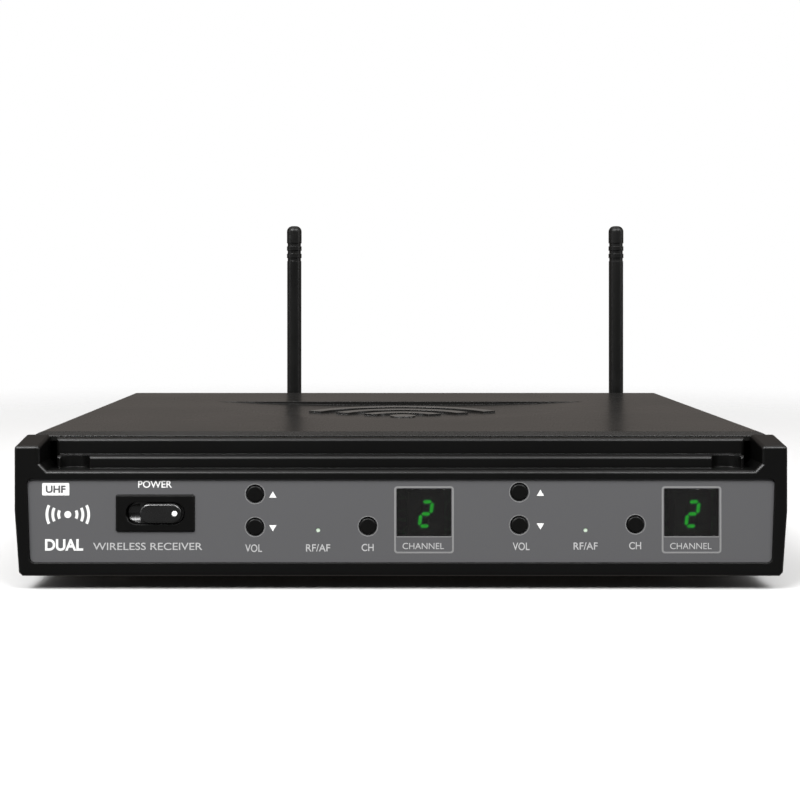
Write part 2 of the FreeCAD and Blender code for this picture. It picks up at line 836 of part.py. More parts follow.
def make_face_plate():
    """The grey plate with a chamfered ring around each button."""
    body = new_body("face_plate")
    outline = front_sketch(body, "dims.plate_front")
    plate_outline(outline, "0")
    pad(body, outline, "dims.plate_thick")
    round_edges(body, "dims.plate_corner", lambda edge: runs_along(edge, Vector(0, 1, 0)))

    openings = front_sketch(body, "dims.plate_front")
    draw_rectangle(
        openings,
        "dims.switch_x - dims.switch_body_wide / 2 - dims.switch_gap",
        "dims.switch_height - dims.switch_body_high / 2 - dims.switch_gap",
        "dims.switch_x + dims.switch_body_wide / 2 + dims.switch_gap",
        "dims.switch_height + dims.switch_body_high / 2 + dims.switch_gap")
    for _, x, height in control_places():
        draw_circle(openings, x, height, "dims.button_hole_radius")
    for moved in CHANNELS.values():
        draw_circle(openings, f"dims.lamp_x + {moved}", "dims.lamp_height", "dims.lamp_hole_radius")
        window_outline(openings, moved)
    pocket(body, openings, "dims.plate_thick")
    round_edges(body, "dims.button_ring", is_button_ring, kind="Chamfer")
    sub_part(body, "face_plate")


def is_button_ring(edge):
    """The front rim of a button's hole."""
    around = 2 * pi * size_of("dims.button_hole_radius")
    return lies_at(edge, "y", "dims.plate_front") and abs(edge.Length - around) < 0.01


def make_display_windows():
    """Smoked windows, flush with the face plate."""
    for channel, moved in CHANNELS.items():
        window = box(f"window_{channel}", ORIGIN,
                     ("dims.window_wide", "dims.window_thick", "dims.window_high"))
        sub_part(window, f"display_window_{channel}",
                 x=f"dims.window_x + {moved} - dims.window_wide / 2",
                 y="dims.window_front",
                 z="dims.window_height - dims.window_high / 2")


# ---------------------------------------------------------------- front controls

def make_push_buttons():
    """Round caps with a flange that keeps them in and a stem that works the tact switch."""
    for name, x, height in control_places():
        cap = turned(name, [
            ("0", "dims.button_front"),
            ("dims.button_radius", "dims.button_front"),
            ("dims.button_radius", "dims.flange_front"),
            ("dims.flange_radius", "dims.flange_front"),
            ("dims.flange_radius", "dims.flange_back"),
            ("dims.stem_radius", "dims.flange_back"),
            ("dims.stem_radius", "dims.stem_back"),
            ("0", "dims.stem_back"),
        ], role="XY_Plane")
        doc.recompute()
        round_edges(cap, "dims.button_round", lambda edge: lies_at(edge, "y", "dims.button_front"))
        sub_part(cap, name, x=x, z=height)


def make_tact_switches():
    """Square switches on the front board, each with a well for its button's stem."""
    switches = []
    for name, x, height in control_places():
        body = box(f"{name}_switch_body", (f"{x} - dims.tact_body / 2", "dims.tact_front",
                                           f"{height} - dims.tact_body / 2"),
                   ("dims.tact_body", "dims.front_board_front - dims.tact_front", "dims.tact_body"))
        well = cylinder(f"{name}_switch_well", (x, "dims.tact_front - 1", height),
                        "dims.tact_well_radius", "dims.tact_well_back - dims.tact_front + 1", ALONG_Y)
        switches.append(cut(f"{name}_switch", body, [well]))
    sub_part(group("tact_switches", switches), "tact_switches")


def make_signal_lamps():
    """Small round lamps whose noses fill the pinholes in the face plate."""
    lamps = [
        move(turned(f"lamp_{channel}", [
            ("0", "dims.lamp_front"),
            ("dims.lamp_nose_radius", "dims.lamp_front"),
            ("dims.lamp_nose_radius", "dims.lamp_shoulder"),
            ("dims.lamp_radius", "dims.lamp_shoulder"),
            ("dims.lamp_radius", "dims.front_board_front"),
            ("0", "dims.front_board_front"),
        ], role="XY_Plane"), x=f"dims.lamp_x + {moved}", z="dims.lamp_height")
        for channel, moved in CHANNELS.items()
    ]
    sub_part(group("signal_lamps", lamps), "signal_lamps")


def make_power_switch():
    """The switch's frame with its well, and the two terminals at its back."""
    flange = new_body("switch_flange")
    outline = front_sketch(flange, "dims.switch_flange_front")
    draw_rectangle(outline, "-dims.switch_flange_wide / 2", "-dims.switch_flange_high / 2",
                   "dims.switch_flange_wide / 2", "dims.switch_flange_high / 2")
    pad(flange, outline, "dims.plate_front - dims.switch_flange_front")
    round_edges(flange, "dims.switch_flange_corner", lambda edge: runs_along(edge, Vector(0, 1, 0)))
    round_edges(flange, "dims.switch_flange_chamfer",
                lambda edge: lies_at(edge, "y", "dims.switch_flange_front"), kind="Chamfer")

    body = box("switch_body",
               ("-dims.switch_body_wide / 2", "dims.switch_flange_front", "-dims.switch_body_high / 2"),
               ("dims.switch_body_wide", "dims.switch_body_back - dims.switch_flange_front",
                "dims.switch_body_high"))
    well = obround("switch_well", "dims.well_half_wide", "dims.well_radius", f"-{BEYOND}",
                   f"dims.well_back + {BEYOND}")
    pin_hole = cylinder("switch_pin_hole",
                        ("0", "dims.rocker_pivot_depth", "-dims.switch_body_high"),
                        "dims.rocker_pin_hole_radius", "dims.switch_body_high * 2")
    frame = cut("power_switch_frame", fuse("switch_blank", [flange, body]), [well, pin_hole])
    sub_part(frame, "power_switch_frame", x="dims.switch_x", z="dims.switch_height")

    terminals = [
        box(f"terminal_{number}",
            (f"{side}dims.terminal_spacing / 2 - dims.terminal_thick / 2", "0", "-dims.terminal_wide / 2"),
            ("dims.terminal_thick", "dims.terminal_long", "dims.terminal_wide"))
        for number, side in enumerate(("-", ""))
    ]
    sub_part(group("switch_terminals", terminals), "switch_terminals",
             x="dims.switch_x", y="dims.switch_body_back", z="dims.switch_height")


def obround(name, half_wide, radius, start, length):
    """A bar with half-round ends, centred on the Y axis."""
    straight = f"({half_wide} - {radius})"
    middle = box(f"{name}_middle", (f"-{straight}", start, f"-{radius}"),
                 (f"2 * {straight}", length, f"2 * {radius}"))
    ends = [
        cylinder(f"{name}_end_{number}", (f"{side}{straight}", start, "0"), radius, length, ALONG_Y)
        for number, side in enumerate(("-", ""))
    ]
    return fuse(name, [middle, *ends])


def rocker_base():
    """The rocker's base, low on the left, where a trough leads down to the pressed end."""
    block = new_body("rocker_block")
    sketch = new_sketch(block, "XY_Plane", "-dims.rocker_radius")
    draw_polygon(sketch, [
        ("-dims.rocker_half_wide", "-dims.rocker_low_end"),
        ("-dims.rocker_half_wide", "dims.rocker_skirt"),
        ("-dims.rocker_half_wide / 3", "dims.rocker_keel"),
        ("dims.rocker_half_wide / 3", "dims.rocker_keel"),
        ("dims.rocker_half_wide", "dims.rocker_skirt"),
        ("dims.rocker_half_wide", "-dims.rocker_low_front"),
        ("-dims.paddle_left", "-dims.rocker_low_front"),
    ])
    pad(block, sketch, "2 * dims.rocker_radius", backward=False)
    outline = obround("rocker_outline", "dims.rocker_half_wide", "dims.rocker_radius",
                      "-dims.well_back", "2 * dims.well_back")
    axis_depth = "dims.trough_deep - dims.trough_radius - (dims.rocker_low_front + dims.rocker_low_end) / 2"
    trough = cylinder("rocker_trough", ("-2 * dims.rocker_half_wide", axis_depth, "0"),
                      "dims.trough_radius", "2 * dims.rocker_half_wide - dims.paddle_left", ALONG_X)
    return cut("rocker_base", common("rocker_blank", [block, outline]), [trough])


def rocker_paddle():
    """The raised, rounded paddle that covers the rocker's right-hand two thirds."""
    paddle = new_body("rocker_paddle")
    outline = front_sketch(paddle, "-dims.paddle_front")
    draw_rectangle(outline, "-dims.paddle_left", "-dims.paddle_half_high", "dims.paddle_right",
                   "dims.paddle_half_high")
    pad(paddle, outline, "dims.paddle_front")
    round_edges(paddle, "dims.paddle_corner", lambda edge: runs_along(edge, Vector(0, 1, 0)))
    round_edges(paddle, "dims.paddle_round", lambda edge: lies_at(edge, "y", "-dims.paddle_front"))
    return paddle


def make_power_rocker():
    """The rocker, with its right-hand end raised, on pivot pins above and below."""
    pin = cylinder("rocker_pin", ("0", "0", "-dims.rocker_pin_reach"),
                   "dims.rocker_pin_radius", "2 * dims.rocker_pin_reach")
    sub_part(fuse("power_rocker", [rocker_base(), rocker_paddle(), pin]), "power_rocker",
             x="dims.switch_x", y="dims.rocker_pivot_depth", z="dims.switch_height")


# ---------------------------------------------------------------- front board and displays

def make_front_board():
    """The circuit board behind the bezel; its four screws are handed back."""
    places = [(x, height) for x in ("dims.front_boss_left", "dims.front_boss_right")
              for height in ("dims.front_boss_low", "dims.front_boss_high")]
    body = new_body("front_board")
    outline = front_sketch(body, "dims.front_board_front")
    draw_rectangle(outline, "dims.front_board_left", "dims.front_board_bottom",
                   "dims.front_board_right", "dims.front_board_top")
    for x, height in places:
        draw_circle(outline, x, height, "dims.screw_hole_radius")
    pad(body, outline, "dims.board_thick")
    sub_part(body, "front_board")

    head_top = "dims.front_board_front + dims.board_thick + dims.screw_head_high"
    return [
        screw(f"front_board_screw_{number}", (x, head_top, height), Rotation(Vector(1, 0, 0), 90),
              "dims.short_screw")
        for number, (x, height) in enumerate(places)
    ]


SEGMENTS = {
    # Middle of each segment, in half digit widths and half digit heights, and whether it lies flat
    "top": (0, 1, True),
    "upper_left": (-1, 0.5, False),
    "upper_right": (1, 0.5, False),
    "middle": (0, 0, True),
    "lower_left": (-1, -0.5, False),
    "lower_right": (1, -0.5, False),
    "bottom": (0, -1, True),
}
DIGIT_TWO = ("top", "upper_right", "middle", "lower_left", "bottom")


def segment_prism(name, grow):
    """One six-sided segment of a digit, standing in front of the display's face."""
    across, up, flat = SEGMENTS[name]
    thick = size_of("dims.segment_thick")
    half_wide = (size_of("dims.digit_wide") - thick) / 2
    half_high = (size_of("dims.digit_high") - thick) / 2
    half_long = (half_wide if flat else half_high / 2) - size_of("dims.segment_gap") + grow
    half_thick = thick / 2 + grow
    shoulder = half_long - half_thick
    corners = [(-half_long, 0), (-shoulder, half_thick), (shoulder, half_thick),
               (half_long, 0), (shoulder, -half_thick), (-shoulder, -half_thick)]
    if not flat:
        corners = [(up_place, along) for along, up_place in corners]
    slant = tan(radians(size_of("dims.digit_slant")))
    points = []
    for x, z in corners:
        z += up * half_high
        points.append(Vector(x + across * half_wide + slant * z, 0, z))
    face = Part.Face(Part.makePolygon(points + points[:1]))
    return face.extrude(Vector(0, size_of("dims.segment_deep"), 0))


def make_displays():
    """Two one-digit displays: a block with seven slots, and a light pipe in each slot."""
    blocks = {}
    for channel, moved in CHANNELS.items():
        place = {"x": f"dims.digit_x + {moved}", "y": "dims.module_front", "z": "dims.digit_height"}
        block = Part.makeBox(
            size_of("dims.module_wide"), size_of("dims.front_board_front - dims.module_front"),
            size_of("dims.module_high"),
            Vector(-size_of("dims.module_wide") / 2, 0, -size_of("dims.module_high") / 2))
        slots = Part.makeCompound([segment_prism(name, size_of("dims.segment_fit")) for name in SEGMENTS])
        blocks[channel] = doc.addObject("Part::Feature", f"module_{channel}")
        blocks[channel].Shape = block.cut(slots)
        sub_part(blocks[channel], f"display_module_{channel}", **place)

    for label, wanted in (("lit_segments", lambda name: name in DIGIT_TWO),
                          ("dark_segments", lambda name: name not in DIGIT_TWO)):
        pipes = []
        for channel, moved in CHANNELS.items():
            digit = doc.addObject("Part::Feature", f"{label}_{channel}")
            digit.Shape = Part.makeCompound([segment_prism(name, 0) for name in SEGMENTS if wanted(name)])
            pipes.append(move(digit, f"dims.digit_x + {moved}", "dims.module_front",
                              "dims.digit_height"))
        sub_part(group(label, pipes), label)


# ---------------------------------------------------------------- case

def four_places(x, front, back):
    """The four corners of a rectangle centred on X."""
    return [(f"{side}{x}", depth) for side in ("-", "") for depth in (front, back)]


def make_bottom_tray():
    """The lower half of the case: floor, side walls with a tongue, standoffs and screw holes."""
    body = new_body("bottom_tray")
    section = front_sketch(body, "dims.case_front")
    tongue_top = "dims.split_height + dims.tongue_high"
    inner = "dims.case_wide / 2 - dims.wall"
    middle = "dims.case_wide / 2 - dims.wall / 2"
    draw_polygon(section, mirrored([
        ("dims.case_wide / 2 - dims.bezel_foot_radius", "dims.floor_height"),
        ("dims.case_wide / 2", "dims.floor_height + dims.bezel_foot_radius"),
        ("dims.case_wide / 2", "dims.split_height"),
        (middle, "dims.split_height"),
        (middle, tongue_top),
        (inner, tongue_top),
        (inner, "dims.floor_height + dims.wall"),
    ]))
    pad(body, section, "dims.case_back - dims.case_front")

    standoffs = new_sketch(body, "XY_Plane", "dims.floor_height + dims.wall / 2")
    pilots = new_sketch(body, "XY_Plane", "dims.board_bottom")
    for x, depth in four_places("dims.standoff_x", "dims.standoff_front", "dims.standoff_back"):
        draw_circle(standoffs, x, depth, "dims.standoff_radius")
        draw_circle(pilots, x, depth, "dims.screw_hole_radius")
    pad(body, standoffs, "dims.board_bottom - dims.floor_height - dims.wall / 2", backward=False)
    pocket(body, pilots, "dims.board_bottom - dims.floor_height - dims.wall")

    holes = new_sketch(body, "XY_Plane", "dims.floor_height + dims.wall")
    for x, depth in four_places("dims.case_screw_x", "dims.case_screw_front", "dims.case_screw_back"):
        draw_circle(holes, x, depth, "dims.clear_hole_radius")
    for side in ("-", ""):
        draw_circle(holes, f"{side}dims.bezel_lug_x", "(dims.case_front + dims.bezel_lug_back) / 2",
                    "dims.clear_hole_radius")
    pocket(body, holes, "dims.wall")
    sub_part(body, "bottom_tray")


def cover_shell():
    """The cover's top and side walls, its screw bosses and its rows of side vents."""
    body = new_body("cover_shell")
    section = front_sketch(body, "dims.case_front")
    inner = "dims.case_wide / 2 - dims.wall"
    middle = "dims.case_wide / 2 - dims.wall / 2 + dims.running_gap"
    bottom = "dims.split_height + dims.parting_gap"
    rebate_top = "dims.split_height + dims.tongue_high + dims.parting_gap"
    draw_polygon(section, mirrored([
        ("dims.case_wide / 2", "dims.top_height"),
        ("dims.case_wide / 2", bottom),
        (middle, bottom),
        (middle, rebate_top),
        (inner, rebate_top),
        (inner, "dims.top_height - dims.roof"),
    ]))
    pad(body, section, "dims.case_back - dims.case_front")
    round_edges(body, "dims.cover_side_round",
                lambda edge: runs_along(edge, Vector(0, 1, 0)) and lies_at(edge, "z", "dims.top_height"))
    slopes = new_sketch(body, "YZ_Plane")
    for end, inward, long in (("dims.case_front", "", "dims.front_slope_long"),
                              ("dims.case_back", "-", "dims.back_slope_long")):
        draw_polygon(slopes, [
            (end, "dims.top_height - dims.slope_high"),
            (f"{end} + {inward}{long}", "dims.top_height"),
            (end, "dims.top_height"),
        ])
    pocket(body, slopes)

    bosses = new_sketch(body, "XY_Plane", "dims.top_height - dims.roof / 2")
    pilots = new_sketch(body, "XY_Plane", "dims.floor_height + dims.wall")
    for x, depth in four_places("dims.case_screw_x", "dims.case_screw_front", "dims.case_screw_back"):
        draw_circle(bosses, x, depth, "dims.case_boss_radius")
        draw_circle(pilots, x, depth, "dims.screw_hole_radius")
    pad(body, bosses, "dims.top_height - dims.roof / 2 - dims.floor_height - dims.wall")
    pocket(body, pilots, "dims.long_screw", forward=True)

    vents = new_sketch(body, "YZ_Plane")
    for number in range(int(size_of("dims.vent_count"))):
        front = f"dims.vent_first + {number} * dims.vent_pitch"
        draw_rectangle(vents, front, "dims.vent_bottom", f"{front} + dims.vent_wide", "dims.vent_top")
    pocket(body, vents)
    return body


def dish_tool():
    """The front half of a shallow spherical dish in the top of the cover."""
    ball_radius = "(dims.dish_radius ^ 2 + dims.dish_deep ^ 2) / (2 * dims.dish_deep)"
    ball = doc.addObject("Part::Sphere", "dish_ball")
    bind(ball, Radius=ball_radius)
    move(ball, "dims.dish_x", "dims.dish_back", f"dims.top_height - dims.dish_deep + {ball_radius}")
    front_half = box("dish_front_half",
                     ("dims.dish_x - dims.dish_radius - 5", "dims.dish_back - dims.dish_radius - 5",
                      "dims.top_height - dims.roof"),
                     ("2 * dims.dish_radius + 10", "dims.dish_radius + 5", "dims.roof * 2"))
    return common("dish", [ball, front_half])


def emblem():
    """A plain mark inside the dish: a dot with three arcs that fan out towards the back."""
    root = size_of("dims.emblem_root")
    high = size_of("dims.top_height") - root
    centre = Vector(size_of("dims.dish_x"), size_of("dims.emblem_front"), root)
    spread = size_of("dims.emblem_spread")
    up = Vector(0, 0, 1)
    shapes = [Part.makeCylinder(size_of("dims.emblem_dot_radius"), high, centre)]
    for number in range(3):
        inner = size_of("dims.emblem_first_radius") + number * size_of("dims.emblem_pitch")
        outer = inner + size_of("dims.emblem_band")
        turn = Rotation(up, 90 - spread)
        sector = [Part.makeCylinder(radius, high, Vector(), up, 2 * spread) for radius in (outer, inner)]
        band = sector[0].cut(sector[1])
        band.Placement = Placement(centre, turn)
        shapes.append(band)
    mark = doc.addObject("Part::Feature", "emblem")
    mark.Shape = Part.makeCompound(shapes)
    return mark


def make_top_cover():
    """The upper half of the case."""
    dished = cut("dished_cover", cover_shell(), [dish_tool()])
    sub_part(fuse("top_cover", [dished, emblem()]), "top_cover")


def make_rear_panel():
    """The rear plate with a hole for each socket, trimmer and antenna."""
    body = new_body("rear_panel")
    outline = front_sketch(body, "dims.panel_front")
    half = "dims.case_wide / 2 - dims.wall"
    draw_rectangle(outline, f"-({half})", "dims.floor_height + dims.wall", half,
                   "dims.top_height - dims.roof")
    for x in ("dims.output_a_x", "dims.output_b_x"):
        draw_circle(outline, x, "dims.socket_height", "dims.output_panel_radius")
        for side in ("-", ""):
            draw_circle(outline, f"{x} + {side}dims.output_screw_x",
                        f"dims.socket_height + {side}dims.output_screw_z", "dims.screw_hole_radius")
    draw_circle(outline, "dims.mix_x", "dims.socket_height", "dims.mix_thread_radius + dims.thread_gap")
    draw_circle(outline, "dims.inlet_x", "dims.inlet_height", "dims.inlet_hole_radius")
    for x in squelch_places():
        draw_circle(outline, x, "dims.socket_height", "dims.squelch_hole_radius")
    for x in ANTENNAS.values():
        draw_circle(outline, x, "dims.antenna_height", "dims.bushing_hole_radius")
    pad(body, outline, "dims.panel_back - dims.panel_front")
    sub_part(body, "rear_panel")


def make_case_fixings():
    """Rubber feet, the screws that hold the cover, and the screws that hold the bezel."""
    feet = [
        move(turned(f"foot_{number}", [
            ("0", "0"),
            ("dims.foot_top_radius", "0"),
            ("dims.foot_radius", "dims.floor_height"),
            ("0", "dims.floor_height"),
        ]), x, depth)
        for number, (x, depth) in enumerate(four_places("dims.foot_x", "dims.foot_front", "dims.foot_back"))
    ]
    sub_part(group("rubber_feet", feet), "rubber_feet")

    head_bottom = "dims.floor_height - dims.screw_head_high"
    upright = Rotation()
    case_screws = [
        screw(f"case_screw_{number}", (x, depth, head_bottom), upright, "dims.long_screw")
        for number, (x, depth) in enumerate(
            four_places("dims.case_screw_x", "dims.case_screw_front", "dims.case_screw_back"))
    ]
    sub_part(group("case_screws", case_screws), "case_screws")

    bezel_screws = [
        screw(f"bezel_screw_{number}",
              (f"{side}dims.bezel_lug_x", "(dims.case_front + dims.bezel_lug_back) / 2", head_bottom),
              upright, "dims.short_screw")
        for number, side in enumerate(("-", ""))
    ]
    sub_part(group("bezel_screws", bezel_screws), "bezel_screws")


# ---------------------------------------------------------------- main board and what stands on it

BOARD_TOP = "dims.board_bottom + dims.board_thick"


def make_main_board():
    """The main circuit board; the screws that hold it on the tray's standoffs are handed back."""
    body = new_body("main_board")
    outline = new_sketch(body, "XY_Plane", "dims.board_bottom")
    draw_rectangle(outline, "-dims.board_half_wide", "dims.board_front", "dims.board_half_wide",
                   "dims.board_back")
    places = four_places("dims.standoff_x", "dims.standoff_front", "dims.standoff_back")
    for x, depth in places:
        draw_circle(outline, x, depth, "dims.screw_hole_radius")
    pad(body, outline, "dims.board_thick", backward=False)
    sub_part(body, "main_board")

    return [
        screw(f"main_board_screw_{number}", (x, depth, f"{BOARD_TOP} + dims.screw_head_high"),
              Rotation(Vector(1, 0, 0), 180), "dims.short_screw")
        for number, (x, depth) in enumerate(places)
    ]


def make_receiver_modules():
    """A shield can over each channel's radio circuit, open underneath."""
    for channel, side in (("a", "-"), ("b", "")):
        outer = box(f"can_{channel}", ORIGIN, ("dims.can_wide", "dims.can_deep", "dims.can_high"))
        inner = box(f"can_{channel}_inside", ("dims.can_wall", "dims.can_wall", f"-{BEYOND}"),
                    ("dims.can_wide - 2 * dims.can_wall", "dims.can_deep - 2 * dims.can_wall",
                     f"dims.can_high - dims.can_wall + {BEYOND}"))
        sub_part(cut(f"receiver_can_{channel}", outer, [inner]), f"receiver_module_{channel}",
                 x=f"{side}dims.module_x - dims.can_wide / 2", y="dims.can_front", z=BOARD_TOP)


def make_board_components():
    """Capacitors, chips, crystals, the regulator with its heat sink, and the headers."""
    capacitors = [
        cylinder(f"capacitor_{number}",
                 (f"dims.capacitor_x + {number % 2} * dims.capacitor_spacing",
                  f"dims.capacitor_front + {number // 2} * dims.capacitor_spacing", BOARD_TOP),
                 "dims.capacitor_radius", "dims.capacitor_high")
        for number in range(4)
    ]
    sub_part(group("filter_capacitors", capacitors), "filter_capacitors")

    chips = [
        box(f"chip_{number}",
            (f"dims.mix_x - dims.chip_wide / 2 + {number - 3} * dims.chip_spacing", "dims.chip_front",
             BOARD_TOP),
            ("dims.chip_wide", "dims.chip_deep", "dims.chip_high"))
        for number in range(4)
    ]
    sub_part(group("audio_chips", chips), "audio_chips")

    crystals = [
        box(f"crystal_{number}", (f"{side}dims.module_x - dims.crystal_wide / 2", "dims.crystal_front",
                                  BOARD_TOP),
            ("dims.crystal_wide", "dims.crystal_deep", "dims.crystal_high"))
        for number, side in enumerate(("-", ""))
    ]
    sub_part(group("crystals", crystals), "crystals")

    regulator = box("regulator", ORIGIN,
                    ("dims.regulator_wide", "dims.regulator_deep", "dims.regulator_high"))
    sub_part(regulator, "voltage_regulator", x="dims.regulator_x - dims.regulator_wide / 2",
             y="dims.regulator_front", z=BOARD_TOP)
    make_heat_sink()

    headers = [
        box("front_header", ("dims.header_x - dims.header_wide / 2",
                             "dims.front_board_front + dims.board_thick", "dims.front_header_bottom"),
            ("dims.header_wide", "dims.front_header_back - dims.front_board_front - dims.board_thick",
             "dims.header_deep")),
        box("main_header", ("dims.header_x - dims.header_wide / 2", "dims.main_header_front", BOARD_TOP),
            ("dims.header_wide", "dims.header_deep", "dims.header_high")),
        box("power_header", ("dims.power_header_x - dims.power_header_wide / 2",
                             "dims.main_header_front", BOARD_TOP),
            ("dims.power_header_wide", "dims.header_deep", "dims.header_high")),
    ]
    sub_part(group("board_headers", headers), "board_headers")


def make_heat_sink():
    """A finned heat sink behind the regulator."""
    back_plate = box("sink_back", ORIGIN, ("dims.sink_wide", "dims.sink_base", "dims.sink_high"))
    count = int(size_of("dims.sink_fin_count"))
    fins = [
        box(f"sink_fin_{number}",
            (f"{number} * (dims.sink_wide - dims.sink_base) / (dims.sink_fin_count - 1)", "0", "0"),
            ("dims.sink_base", "dims.sink_fin_deep", "dims.sink_high"))
        for number in range(count)
    ]
    sub_part(fuse("sink", [back_plate, *fins]), "heat_sink",
             x="dims.regulator_x - dims.sink_wide / 2",
             y="dims.regulator_front + dims.regulator_deep", z=BOARD_TOP)


def make_inner_leads():
    """The ribbon between the boards, the switch's two leads and the two coaxial leads."""
    header_top = f"{BOARD_TOP} + dims.header_high"
    header_middle = "dims.main_header_front + dims.header_deep / 2"
    front_middle = "dims.front_header_bottom + dims.header_deep / 2"
    ribbon_corners = [
        Vector(size_of("dims.header_x"), size_of(depth), size_of(height)) for depth, height in (
            ("dims.front_header_back", front_middle),
            ("dims.main_header_front - 12", front_middle),
            ("dims.main_header_front - 6", f"{header_top} + 6"),
            (header_middle, f"{header_top} + 6"),
            (header_middle, header_top),
        )
    ]
    half_wide = Vector(size_of("dims.ribbon_wide / 2"), 0, 0)
    half_thick = Vector(0, 0, size_of("dims.ribbon_thick / 2"))
    start = ribbon_corners[0]
    loop = [start - half_wide - half_thick, start + half_wide - half_thick,
            start + half_wide + half_thick, start - half_wide + half_thick]
    ribbon = swept("ribbon", Part.makePolygon(loop + loop[:1]),
                   bent_wire(ribbon_corners, size_of("dims.ribbon_bend")))
    sub_part(ribbon, "ribbon_cable")

    leads = [
        round_lead(f"power_lead_{number}", [
            (f"dims.switch_x + {side}dims.terminal_spacing / 2",
             "dims.switch_body_back + dims.terminal_long", "dims.switch_height"),
            (f"dims.switch_x + {side}dims.terminal_spacing / 2", header_middle, "dims.switch_height"),
            (f"dims.switch_x + {side}dims.terminal_spacing / 2", header_middle, header_top),
        ], "dims.lead_radius", "dims.lead_bend")
        for number, side in enumerate(("-", ""))
    ]
    sub_part(group("power_leads", leads), "power_leads")

    start = "dims.spindle_head_front - dims.coax_gap"
    can_back = "dims.can_front + dims.can_deep"
    can_middle = f"{BOARD_TOP} + dims.can_high / 2"
    for channel, side in (("a", "-"), ("b", "")):
        start_x = ANTENNAS[channel]
        end_x = f"{side}dims.module_x"
        lead = round_lead(f"coax_{channel}", [
            (start_x, start, "dims.antenna_height"),
            (start_x, f"{start} - 8", "dims.antenna_height"),
            (end_x, f"{can_back} + 16", "dims.antenna_height + 6"),
            (end_x, f"{can_back} + 8", can_middle),
            (end_x, can_back, can_middle),
        ], "dims.coax_radius", "dims.coax_bend")
        sub_part(lead, f"coax_lead_{channel}")


# ---------------------------------------------------------------- rear sockets and trimmers

OUTPUTS = {"a": "dims.output_a_x", "b": "dims.output_b_x"}
ANTENNAS = {"a": "dims.antenna_a_x", "b": "dims.antenna_b_x"}
PIN_ANGLES = (30, 150, 270)                      # degrees, seen from behind the unit


def output_shell(channel):
    """One output socket's shell: a flange with rounded corners and a tube with a key rib."""
    body = new_body(f"output_shell_{channel}")
    flange = front_sketch(body, "dims.panel_back")
    draw_rectangle(flange, "-dims.output_flange_wide / 2", "-dims.output_flange_high / 2",
                   "dims.output_flange_wide / 2", "dims.output_flange_high / 2")
    pad(body, flange, "dims.case_back - dims.panel_back")
    round_edges(body, "dims.output_flange_round", lambda edge: runs_along(edge, Vector(0, 1, 0)))

    tube = front_sketch(body, "dims.output_shell_front")
    draw_circle(tube, "0", "0", "dims.output_shell_radius")
    pad(body, tube, "dims.panel_back - dims.output_shell_front")
    holes = front_sketch(body, "dims.output_shell_front")
    draw_circle(holes, "0", "0", "dims.output_bore_radius")
    for side in ("-", ""):
        draw_circle(holes, f"{side}dims.output_screw_x", f"{side}dims.output_screw_z",
                    "dims.screw_hole_radius")
    pocket(body, holes)

    key = front_sketch(body, "dims.key_front")
    draw_rectangle(key, "-dims.key_wide / 2", "-dims.output_shell_radius + dims.key_high",
                   "dims.key_wide / 2", "-dims.output_bore_radius + dims.key_high")
    pad(body, key, "dims.key_back - dims.key_front")
    return body


def make_output_sockets():
    """Two balanced output sockets: shells, inserts, contact pins and fixing screws."""
    inserts, pins, screws = [], [], []
    for channel, x in OUTPUTS.items():
        sub_part(output_shell(channel), f"output_shell_{channel}", x=x, z="dims.socket_height")
        disc = cylinder(f"insert_{channel}_disc", (x, "dims.output_shell_front", "dims.socket_height"),
                        "dims.output_bore_radius - dims.running_gap",
                        "dims.output_insert_back - dims.output_shell_front", ALONG_Y)
        holes = []
        for angle in PIN_ANGLES:
            pin_x = f"{x} + dims.output_pin_circle * cos({angle} deg)"
            pin_z = f"dims.socket_height + dims.output_pin_circle * sin({angle} deg)"
            holes.append(cylinder(f"insert_{channel}_hole_{angle}", (pin_x, "dims.output_pin_front", pin_z),
                                  "dims.output_pin_hole_radius",
                                  "dims.output_pin_back - dims.output_pin_front", ALONG_Y))
            pins.append(cylinder(f"output_pin_{channel}_{angle}", (pin_x, "dims.output_pin_front", pin_z),
                                 "dims.output_pin_radius", "dims.output_pin_back - dims.output_pin_front",
                                 ALONG_Y))
        inserts.append(cut(f"insert_{channel}", disc, holes))
        for number, side in enumerate(("-", "")):
            screws.append(screw(
                f"output_screw_{channel}_{number}",
                (f"{x} + {side}dims.output_screw_x", "dims.case_back + dims.screw_head_high",
                 f"dims.socket_height + {side}dims.output_screw_z"),
                Rotation(Vector(1, 0, 0), 90), "dims.short_screw"))
    sub_part(group("output_inserts", inserts), "output_inserts")
    sub_part(group("output_pins", pins), "output_pins")
    sub_part(group("output_screws", screws), "output_screws")


